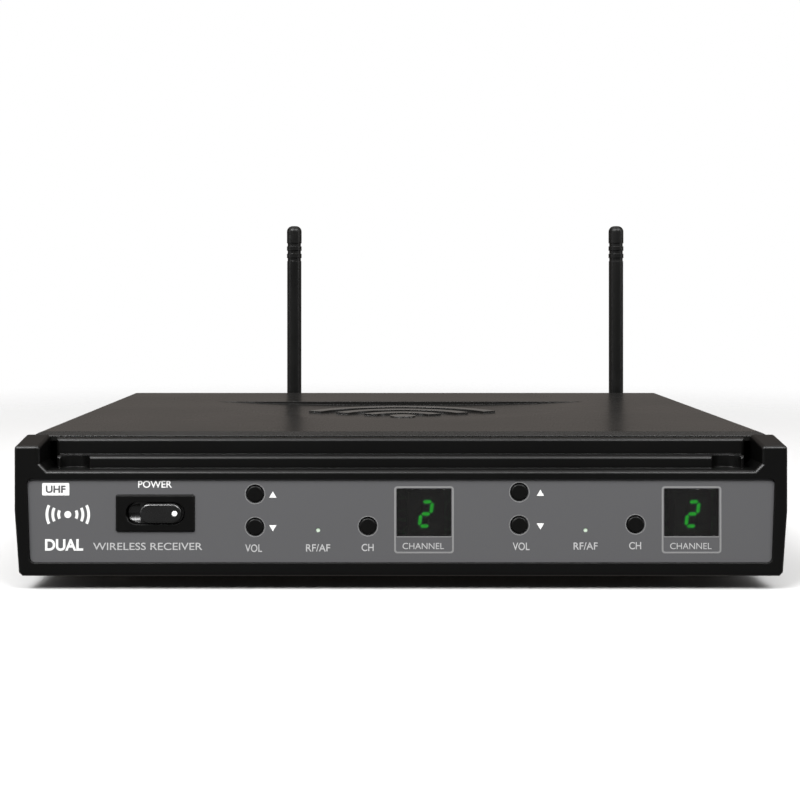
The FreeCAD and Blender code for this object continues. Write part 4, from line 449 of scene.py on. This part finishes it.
def chip_black():
    """Matt moulding compound with a pale flow pattern."""
    return finish("chip_black", (0.016, 0.016, 0.017), 0.62, specular=0.35, grain=0.12 * MM,
                  depth=0.008 * MM, patch=2.5 * MM, uneven=0.25, rub_and_highlight=0.3, rub_and_highlight_colour=(0.05, 0.05, 0.05))


def capacitor_sleeve():
    """Shrink sleeve, dark blue and shiny."""
    return finish("capacitor_sleeve", (0.02, 0.03, 0.10), 0.25, coat=0.4, grain=0.8 * MM, depth=0.01 * MM,
                  stretch=(1, 1, 0.3), patch=4 * MM, uneven=0.2)


def sink_aluminium():
    """Extruded aluminium with lines along its length."""
    return finish("sink_aluminium", (0.52, 0.52, 0.54), 0.38, metallic=1.0, grain=0.15 * MM,
                  depth=0.008 * MM, stretch=(1, 1, 0.05), patch=8 * MM, uneven=0.12, rub_and_highlight=0.4,
                  rub_and_highlight_colour=(0.72, 0.72, 0.73))


def wire_cover():
    """Black insulation, faintly ribbed by its extrusion."""
    return finish("wire_cover", (0.03, 0.03, 0.03), 0.42, grain=0.2 * MM, depth=0.006 * MM, patch=5 * MM,
                  uneven=0.2)


WIRE_PITCH = 1.27 * MM
RED_EDGE = (1.2 * MM, 1.3 * MM)     # from the cable's side, where the red of the first wire ends


def ribbon_grey():
    """Grey flat cable, its first conductor marked red; dark stripes at the wire pitch are painted shade in
    the grooves between the round conductors.
    """
    material = finish("ribbon_grey", (0.33, 0.33, 0.34), 0.50, grain=0.3 * MM, depth=0.006 * MM)
    tree, shader = shader_of(material)
    across = node(tree, "ShaderNodeSeparateXYZ", {0: place(tree)}).outputs["X"]
    turns = maths(tree, "SINE", maths(tree, "MULTIPLY", across, 2 * math.pi / WIRE_PITCH))
    low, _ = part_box("ribbon_cable")
    marked = spread(tree, across, 1.0, 0.0, *(low.x + edge for edge in RED_EDGE))
    # Painted shade: darker stripes where the grooves between the round conductors would be.
    painted_crest_light = spread(tree, turns, 0.0, 1.0, -1.0, -0.4)
    shaded_wires = mixed(tree, painted_crest_light, (0.15, 0.15, 0.16), (0.36, 0.36, 0.37))
    tree.links.new(mixed(tree, marked, shaded_wires, (0.45, 0.03, 0.03)), shader.inputs["Base Color"])
    return material


def antenna_rubber():
    """Satin rubber over a whip, with a faint drawn texture along it."""
    return finish("antenna_rubber", (0.0025, 0.0025, 0.0023), 0.38, specular=0.25, grain=0.4 * MM,
                  depth=0.008 * MM, stretch=(1, 1, 0.25), patch=12 * MM, uneven=0.2, rub_and_highlight=0.3,
                  rub_and_highlight_colour=(0.03, 0.03, 0.029))


DIGIT_WIDE = 3.6 * MM
DIGIT_HIGH = 7.5 * MM
SEGMENT_THICK = 0.85 * MM
DIGIT_SLANT = math.radians(7)
LIT_SEGMENTS = (
    # Middle of each lit segment, in half digit widths and heights, and whether it lies flat
    (0, 1, True), (1, 0.5, False), (0, 0, True), (-1, -0.5, False), (0, -1, True),
)
# The halo is emission painted on the black face: a painted glow of the lit segments' light.
HALO_REACH = 1.1 * MM
HALO_GREEN = (0.03, 0.55, 0.12)
HALO_STRENGTH = 0.5


def display_face(channel):
    """A digit's black face, with a painted green glow on it that fades away from the lit segments."""
    material = finish(f"display_face_{channel}", (0.030, 0.030, 0.028), 0.55, grain=0.2 * MM,
                      depth=0.004 * MM, patch=2 * MM, rounded=0)
    tree, shader = shader_of(material)
    digit = centre_of(f"display_module_{channel}")
    local = vector_maths(tree, "SUBTRACT", place(tree), tuple(digit))
    parts = node(tree, "ShaderNodeSeparateXYZ", {0: local})
    lean = maths(tree, "MULTIPLY", parts.outputs["Z"], -math.tan(DIGIT_SLANT))
    upright = node(tree, "ShaderNodeCombineXYZ",
                   {"X": maths(tree, "ADD", parts.outputs["X"], lean), "Z": parts.outputs["Z"]}).outputs[0]
    half_wide = (DIGIT_WIDE - SEGMENT_THICK) / 2
    half_high = (DIGIT_HIGH - SEGMENT_THICK) / 2
    nearest = HALO_REACH
    for across, up, flat in LIT_SEGMENTS:
        middle = (across * half_wide, 0, up * half_high)
        reach = (half_wide - SEGMENT_THICK, 0, 0) if flat else (0, 0, half_high / 2 - SEGMENT_THICK)
        beside = vector_maths(tree, "ABSOLUTE", vector_maths(tree, "SUBTRACT", upright, middle))
        outside = vector_maths(tree, "MAXIMUM", vector_maths(tree, "SUBTRACT", beside, reach))
        away = node(tree, "ShaderNodeVectorMath", {0: outside}, operation="LENGTH").outputs["Value"]
        nearest = maths(tree, "MINIMUM", away, nearest)
    glow = maths(tree, "POWER", spread(tree, nearest, 1.0, 0.0, SEGMENT_THICK / 2, HALO_REACH), 2.0)
    shader.inputs["Emission Color"].default_value = (*HALO_GREEN, 1)
    tree.links.new(maths(tree, "MULTIPLY", glow, HALO_STRENGTH), shader.inputs["Emission Strength"])
    return material


def ink(name, colour):
    """Screen-printed ink, slightly uneven where it went through the mesh."""
    return finish(name, colour, 0.5, specular=0.3, grain=0.08 * MM, depth=0.002 * MM, patch=1.2 * MM,
                  uneven=0.05, rounded=0)


def apply_finishes():
    """Gives every CAD node the finish of its slot in the record, or its own where it has one."""
    finishes = {
        "case_plastic": cover_plastic(), "plate_grey": plate_paint(), "smoked_window": smoked_acrylic(),
        "control_plastic": control_plastic(), "rocker_plastic": rocker_plastic(),
        "lamp_lens": lamp_lens(), "segment_lit": segment_lit(), "segment_dark": segment_dark(),
        "circuit_board": circuit_board(), "tinned_steel": tinned_steel(), "screw_steel": screw_steel(),
        "foot_rubber": foot_rubber(), "socket_nickel": socket_nickel(),
        "contact_silver": contact_silver(), "brass_nickel": brass_nickel(), "chip_black": chip_black(),
        "capacitor_sleeve": capacitor_sleeve(), "sink_aluminium": sink_aluminium(),
        "wire_cover": wire_cover(), "ribbon_grey": ribbon_grey(), "antenna_rubber": antenna_rubber(),
    }
    own = {"front_bezel": bezel_plastic()}
    for channel in CHANNELS:
        own[f"display_module_{channel}"] = display_face(channel)
    for part in frame["record"]["subparts"]:
        name = part["node"]
        material = own.get(name) or finishes[part["material_slot"]]
        for slot in frame["nodes"][name].material_slots:
            slot.material = material


# ---------------------------------------------------------------- flat shapes and letters

FRONT = Matrix(((1, 0, 0), (0, 0, -1), (0, 1, 0)))      # drawing right, up and out, seen from the front
BACK = Matrix(((-1, 0, 0), (0, 0, 1), (0, 1, 0)))       # the same, seen from behind
INK_PROUD = 0.03 * MM
INK_SUNK = 0.01 * MM


def rounded_outline(width, height, radius, steps=6):
    """The corners of a rectangle, with quarter-circle corners, anticlockwise round its middle."""
    points = []
    for quarter, (side, end) in enumerate(((1, 1), (-1, 1), (-1, -1), (1, -1))):
        for step in range(steps + 1):
            angle = math.radians(90 * (quarter + step / steps))
            points.append((side * (width / 2 - radius) + radius * math.cos(angle),
                           end * (height / 2 - radius) + radius * math.sin(angle)))
    return points


def circle_outline(radius, centre=(0, 0), steps=32):
    """A round outline."""
    return [(centre[0] + radius * math.cos(2 * math.pi * step / steps),
             centre[1] + radius * math.sin(2 * math.pi * step / steps)) for step in range(steps)]


def arc_band(radius, width, facing, half_angle, steps=14):
    """A band along an arc, as one outline, that reaches half_angle to each side of where it faces."""
    angles = [facing + half_angle * (2 * step / steps - 1) for step in range(steps + 1)]
    outer, inner = [
        [(reach * math.cos(angle), reach * math.sin(angle)) for angle in angles]
        for reach in (radius + width / 2, radius - width / 2)]
    return outer + inner[::-1]


def bar(x, y, width, height):
    """A rectangle's outline round a point."""
    return [(x - width / 2, y - height / 2), (x + width / 2, y - height / 2),
            (x + width / 2, y + height / 2), (x - width / 2, y + height / 2)]


def bridge(built, first, second):
    """Joins two rings of as many corners with a band of faces."""
    count = len(first)
    for here in range(count):
        there = (here + 1) % count
        built.faces.new((first[here], first[there], second[there], second[here]))


def finished_mesh(built, name):
    """A mesh of what was built, with every face looking outwards."""
    bmesh.ops.recalc_face_normals(built, faces=built.faces)
    mesh = bpy.data.meshes.new(name)
    built.to_mesh(mesh)
    built.free()
    return mesh


def slab(shapes):
    """Flat shapes given a thickness of 1 along Z. A shape is an outline, or a pair with ink between."""
    built = bmesh.new()
    for shape in shapes:
        loops = shape if isinstance(shape[0], list) else [shape]
        rings = [[[built.verts.new((x, y, z)) for x, y in loop] for z in (0, 1)] for loop in loops]
        for low, high in rings:
            bridge(built, low, high)
        if len(rings) == 1:
            built.faces.new(rings[0][0][::-1])
            built.faces.new(rings[0][1])
        else:
            for outer, inner in zip(*rings):
                bridge(built, outer, inner)
    return finished_mesh(built, "slab")


LETTER_STEPS = 5                    # how finely a letter's curves are cut
LETTER_MERGE = 1e-5                 # points of a letter that are closer than this are one


def letters(words, weight):
    """Words as closed solids 1 thick, in the default typeface; weight thickens the strokes."""
    curve = bpy.data.curves.new("letters", "FONT")
    curve.body = words
    curve.extrude = 0.5
    curve.offset = weight
    curve.resolution_u = LETTER_STEPS
    holder = bpy.data.objects.new("letters", curve)
    mesh = bpy.data.meshes.new_from_object(holder)
    bpy.data.objects.remove(holder)
    bpy.data.curves.remove(curve)
    built = bmesh.new()
    built.from_mesh(mesh)
    bmesh.ops.remove_doubles(built, verts=built.verts, dist=LETTER_MERGE)
    bmesh.ops.translate(built, verts=built.verts, vec=(0, 0, 0.5))
    built.to_mesh(mesh)
    built.free()
    return mesh


def fitted(mesh, width, height):
    """Scales a flat mesh to a width and height, round its middle."""
    lows = [min(vertex.co[axis] for vertex in mesh.vertices) for axis in (0, 1)]
    highs = [max(vertex.co[axis] for vertex in mesh.vertices) for axis in (0, 1)]
    middle = Vector(((lows[0] + highs[0]) / 2, (lows[1] + highs[1]) / 2, 0))
    scale = Matrix.Diagonal((width / (highs[0] - lows[0]), height / (highs[1] - lows[1]), 1, 1))
    mesh.transform(scale @ Matrix.Translation(-middle))
    return mesh


def lay(name, mesh, at, facing, material, body="case", proud=INK_PROUD):
    """Puts a flat mesh on a face at that point, standing a little proud of it, and names its body."""
    thickness = Matrix.Translation((0, 0, -INK_SUNK)) @ Matrix.Diagonal((1, 1, proud + INK_SUNK, 1))
    mesh.transform(thickness)
    mesh.transform(facing.to_4x4())
    mesh.transform(Matrix.Translation(at))
    mesh.name = name
    mesh.materials.append(material)
    piece = bpy.data.objects.new(name, mesh)
    bpy.context.scene.collection.objects.link(piece)
    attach(piece, body)


# ---------------------------------------------------------------- printed front
# Places are millimetres to the right of the middle and above the table, and sizes are millimetres.

CHANNEL_PITCH = (centre_of("channel_button_b").x - centre_of("channel_button_a").x) / MM
SECOND_RISE = (centre_of("channel_button_b").z - centre_of("channel_button_a").z) / MM
RIM_HIGHLIGHT_RADIUS = 2.8
RIM_HIGHLIGHT_WIDTH = 0.15                   # of the pale rings round the buttons, a painted highlight

FRONT_WORDS = (
    # Piece, words, ink, middle of the letters, width, height and weight
    ("legend_power", "POWER", "white", -67.1, 29.05, 9.2, 1.9, 0.01),
    ("legend_dual", "DUAL", "white", -91.9, 12.5, 10.4, 3.2, 0.03),
    ("legend_type", "WIRELESS RECEIVER", "pale", -69.1, 12.1, 29.8, 2.0, 0.005),
)
CHANNEL_WORDS = (
    # Piece, words, middle of the first channel's letters, width, height and weight
    ("legend_volume", "VOL", -40.2, 11.6, 4.6, 2.1, 0.01),
    ("legend_signal", "RF/AF", -22.6, 11.7, 6.6, 2.0, 0.01),
    ("legend_select", "CH", -9.1, 11.8, 3.3, 2.0, 0.01),
)
MARK_X = -34.95                     # the triangles right of the volume buttons
MARK_REACH = 1.0                    # half of a triangle's width
MARKS = (
    # Which way, height, and how far the tip is above the middle
    ("up", 26.25, 0.85),
    ("down", 17.05, -0.85),
)
WINDOW_PLACE = (6.3, 19.35)         # the middle of the line round the first display window
WINDOW_OUTSIDE = (16.3, 18.3, 0.9)  # width, height and corner radius
WINDOW_INSIDE = (15.3, 17.4, 0.5)
WINDOW_SILL = (0.0, -4.625, 15.0, 0.25)     # middle from the window line's middle, width and height
WINDOW_WORD = ("CHANNEL", 6.1, 12.2, 11.3, 1.7, 0.0)    # as above, but level in both channels
TAG_PLACE = (-94.2, 27.7)
TAG_BOX = (7.4, 3.4, 0.25)          # width, height and corner radius
TAG_LETTERS = (5.4, 2.0, 0.03)      # width, height and weight
LINK_PLACE = (-90.9, 20.8)          # the radio link sign: a dot and arcs, by their radius
LINK_DOT = 0.95
LINK_ARCS = (2.5, 4.1, 5.7)
LINK_STROKE = 0.75
LINK_HALF_ANGLE = math.radians(26)


def in_metres(sizes):
    """Millimetres turned into metres."""
    return [size * MM for size in sizes]


def on_plate(x, z):
    """A point on the face plate."""
    return (x * MM, PLATE_FACE, z * MM)


def printed_word(words, width, height, weight):
    """A word as a flat mesh of that size."""
    return fitted(letters(words, weight), width * MM, height * MM)


def print_on_plate(name, mesh, x, z, ink_used, proud=INK_PROUD):
    """Lays a flat mesh on the face plate."""
    lay(name, mesh, on_plate(x, z), FRONT, ink_used, proud=proud)


def paint_button_rim_highlights(channel, ink_used):
    """Thin pale rings round the channel's three buttons: a painted highlight on the edge of each button's
    hole.
    """
    for button in ("volume_up", "volume_down", "channel"):
        middle = centre_of(f"{button}_button_{channel}") / MM
        rim = [circle_outline(RIM_HIGHLIGHT_RADIUS * MM), circle_outline((RIM_HIGHLIGHT_RADIUS - RIM_HIGHLIGHT_WIDTH) * MM)]
        print_on_plate(f"rim_{button}_{channel}", slab([rim]), middle.x, middle.z, ink_used)


def print_channel(channel, moved, rise, inks):
    """One channel's print and the painted highlight rings round its buttons, moved right from the first
    one's; what goes with the buttons rises too.
    """
    for piece, words, x, z, width, height, weight in CHANNEL_WORDS:
        print_on_plate(f"{piece}_{channel}", printed_word(words, width, height, weight),
                       x + moved, z + rise, inks["pale"])
    words, x, z, *size = WINDOW_WORD
    print_on_plate(f"legend_channel_{channel}", printed_word(words, *size), x + moved, z, inks["pale"])
    for way, height, tip in MARKS:
        outline = [(-MARK_REACH * MM, -tip * MM), (MARK_REACH * MM, -tip * MM), (0, tip * MM)]
        print_on_plate(f"mark_{way}_{channel}", slab([outline]),
                       MARK_X + moved, height + rise, inks["white"])
    line = [rounded_outline(*in_metres(WINDOW_OUTSIDE)), rounded_outline(*in_metres(WINDOW_INSIDE))]
    window_x, window_z = WINDOW_PLACE
    print_on_plate(f"window_line_{channel}", slab([line, bar(*in_metres(WINDOW_SILL))]),
                   window_x + moved, window_z, inks["line"])
    # Pale rings round the buttons, in line ink: a painted highlight on the edges of their holes.
    paint_button_rim_highlights(channel, inks["line"])


def print_tag(inks):
    """A white box with the band's name in the plate's grey."""
    print_on_plate("band_tag", slab([rounded_outline(*in_metres(TAG_BOX))]), *TAG_PLACE, inks["white"])
    print_on_plate("band_letters", printed_word("UHF", *TAG_LETTERS), *TAG_PLACE, inks["grey"],
                   proud=2 * INK_PROUD)


def print_emblem(inks):
    """A dot between pairs of arcs, the usual sign for a radio link."""
    shapes = [circle_outline(LINK_DOT * MM)]
    for facing in (0, math.pi):
        for radius in LINK_ARCS:
            shapes.append(arc_band(radius * MM, LINK_STROKE * MM, facing, LINK_HALF_ANGLE))
    print_on_plate("radio_emblem", slab(shapes), *LINK_PLACE, inks["white"])


def print_front():
    """Everything printed on the face plate, and the painted highlight rings round the buttons."""
    inks = {
        "white": ink("white_ink", (0.74, 0.74, 0.73)),
        "pale": ink("pale_ink", (0.37, 0.37, 0.37)),
        # The line ink draws the printed lines round the display windows, and the pale rings round the
        # buttons that are a painted highlight.
        "line": ink("line_and_highlight_ink", (0.195, 0.195, 0.195)),
        "grey": ink("grey_ink", PLATE_GREY),
    }
    for piece, words, ink_name, x, z, width, height, weight in FRONT_WORDS:
        print_on_plate(piece, printed_word(words, width, height, weight), x, z, inks[ink_name])
    print_tag(inks)
    print_emblem(inks)
    for number, channel in enumerate(CHANNELS):
        print_channel(channel, number * CHANNEL_PITCH, number * SECOND_RISE, inks)


# ---------------------------------------------------------------- rear

REAR_LETTERS_HIGH = 1.8             # millimetres
REAR_WEIGHT = 0.02


def print_rear():
    """Plain function names beside the sockets on the rear panel."""
    white = ink("rear_ink", (0.62, 0.62, 0.61))
    jack = centre_of("mix_jack_nut").x / MM
    inlet = centre_of("power_inlet_pin") / MM
    words = (
        # Piece, words, middle of the letters, and width, in millimetres
        ("rear_mix", "MIX OUT", jack, 34.3, 9.5),
        ("rear_output_a", "OUT A", -29.9, 35.0, 6.4),
        ("rear_output_b", "OUT B", 36.4, 35.0, 6.4),
        ("rear_supply", "DC IN", inlet.x, 28.2, 6.6),
        ("rear_squelch_a", "SQ A", centre_of("squelch_trimmer_a").x / MM, 30.6, 5.2),
        ("rear_squelch_b", "SQ B", centre_of("squelch_trimmer_b").x / MM, 30.6, 5.2),
        ("rear_antenna_a", "ANT A", centre_of("antenna_elbow_a").x / MM, 35.0, 7.0),
        ("rear_antenna_b", "ANT B", centre_of("antenna_elbow_b").x / MM, 35.0, 7.0),
    )
    for name, text, x, z, width in words:
        mesh = printed_word(text, width, REAR_LETTERS_HIGH, REAR_WEIGHT)
        lay(name, mesh, (x * MM, PANEL_FACE, z * MM), BACK, white)
    print_polarity(inlet.x, white)


SIGN_HEIGHT = 12.6 * MM
SIGN_LINE = 0.2 * MM
SIGN_DOT = 0.45 * MM
SIGN_CUP = 1.0 * MM
SIGN_CUP_HALF_ANGLE = math.radians(115)
SIGN_REACH = 3.6 * MM               # from the sign's middle to the middle of each ring
SIGN_RING = 1.1 * MM
SIGN_MARK = 1.2 * MM                # the line in each ring
SIGN_LEAD = (1.6 * MM, 1.8 * MM)    # the line to each ring: its middle and its length


def print_polarity(x, white):
    """The sign for a polarised supply: a dot in a cup, with a ringed mark on each side."""
    shapes = [circle_outline(SIGN_DOT)]
    lead_middle, lead_length = SIGN_LEAD
    for side in (-1, 1):
        middle = (side * SIGN_REACH, 0)
        shapes.append([circle_outline(SIGN_RING, middle), circle_outline(SIGN_RING - SIGN_LINE, middle)])
        shapes.append(bar(side * lead_middle, 0, lead_length, SIGN_LINE))
        shapes.append(bar(side * SIGN_REACH, 0, SIGN_MARK, SIGN_LINE))
    shapes.append(arc_band(SIGN_CUP, SIGN_LINE, 0, SIGN_CUP_HALF_ANGLE))
    lay("rear_polarity", slab(shapes), (x * MM, PANEL_FACE, SIGN_HEIGHT), BACK, white)


THREAD_RADIUS = 4.75 * MM
THREAD_HIGH = 0.28 * MM
THREAD_PITCH = 0.75 * MM
THREAD_STEPS = 48                   # in one turn
THREAD_FADE = 6                     # the first and last sixth of the ridge rise and fall
THREAD_SUNK = 0.1 * MM              # how far the ridge's feet reach into the sleeve
THREAD_HALF_WIDE = 0.4              # of the ridge's foot, in pitches
THREAD_END = 0.3 * MM               # left plain at the sleeve's mouth


def make_jack_thread():
    """The part of the jack's screw thread that stands out of its nut: one helical ridge."""
    nut_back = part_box("mix_jack_nut")[1].y
    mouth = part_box("mix_jack_body")[1].y
    centre = centre_of("mix_jack_nut")
    turns = (mouth - nut_back - THREAD_END) / THREAD_PITCH - 1
    count = int(turns * THREAD_STEPS)
    built = bmesh.new()
    rings = []
    for step in range(count + 1):
        angle = 2 * math.pi * step / THREAD_STEPS
        along = nut_back + 0.5 * THREAD_PITCH + THREAD_PITCH * step / THREAD_STEPS
        fade = min(1.0, THREAD_FADE * step / count, THREAD_FADE * (count - step) / count)
        foot = THREAD_RADIUS - THREAD_SUNK
        section = ((foot, -THREAD_HALF_WIDE), (THREAD_RADIUS + THREAD_HIGH * fade, 0.0),
                   (foot, THREAD_HALF_WIDE))
        rings.append([built.verts.new((centre.x + radius * math.cos(angle), along + side * THREAD_PITCH,
                                       centre.z + radius * math.sin(angle))) for radius, side in section])
    for first, second in zip(rings, rings[1:]):
        bridge(built, first, second)
    built.faces.new(rings[0])
    built.faces.new(rings[-1][::-1])
    mesh = finished_mesh(built, "mix_jack_thread")
    mesh.materials.append(frame["nodes"]["mix_jack_body"].material_slots[0].material)
    piece = bpy.data.objects.new("mix_jack_thread", mesh)
    bpy.context.scene.collection.objects.link(piece)
    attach(piece, "case")


# ---------------------------------------------------------------- rocker

DOT_RADIUS = 0.75 * MM
DOT_INSET = 5.4 * MM                # from the rocker's pivot to the dot's middle
DOT_RINGS = (
    # Share of the radius, and height in millimetres
    (0.5, 0.08), (0.85, 0.055), (1.0, 0.02), (1.0, -0.1),
)
DOT_CROWN = 0.09 * MM
RAY_START = 20 * MM                 # in front of the bezel


def make_rocker_dot():
    """A white dot let into the raised end of the rocker."""
    rocker = frame["nodes"]["power_rocker"]
    bpy.context.view_layer.update()
    surface = BVHTree.FromObject(rocker, bpy.context.evaluated_depsgraph_get())
    middle = centre_of("power_rocker")
    start = Vector((middle.x + DOT_INSET, BEZEL_FACE - RAY_START, middle.z))
    touch, normal, _, _ = surface.ray_cast(start, Vector((0, 1, 0)))
    built = bmesh.new()
    crown = built.verts.new((0, 0, DOT_CROWN))
    rings = [[built.verts.new((x, y, rise * MM)) for x, y in circle_outline(share * DOT_RADIUS)]
             for share, rise in DOT_RINGS]
    for here, there in zip(rings[0], rings[0][1:] + rings[0][:1]):
        built.faces.new((crown, here, there))
    for first, second in zip(rings, rings[1:]):
        bridge(built, second, first)
    built.faces.new(rings[-1][::-1])
    mesh = finished_mesh(built, "rocker_dot")
    mesh.transform(normal.to_track_quat("Z", "X").to_matrix().to_4x4())
    mesh.transform(Matrix.Translation(touch))
    for face in mesh.polygons:
        face.use_smooth = True
    mesh.materials.append(ink("dot_paint", (0.85, 0.85, 0.84)))
    piece = bpy.data.objects.new("rocker_dot", mesh)
    bpy.context.scene.collection.objects.link(piece)
    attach(piece, "power_rocker")


# ---------------------------------------------------------------- the scene

bpy.context.scene.view_settings.view_transform = "Standard"
make_camera()
make_world()
make_lights()
make_floor()
apply_finishes()
print_front()
print_rear()
make_rocker_dot()
make_jack_thread()
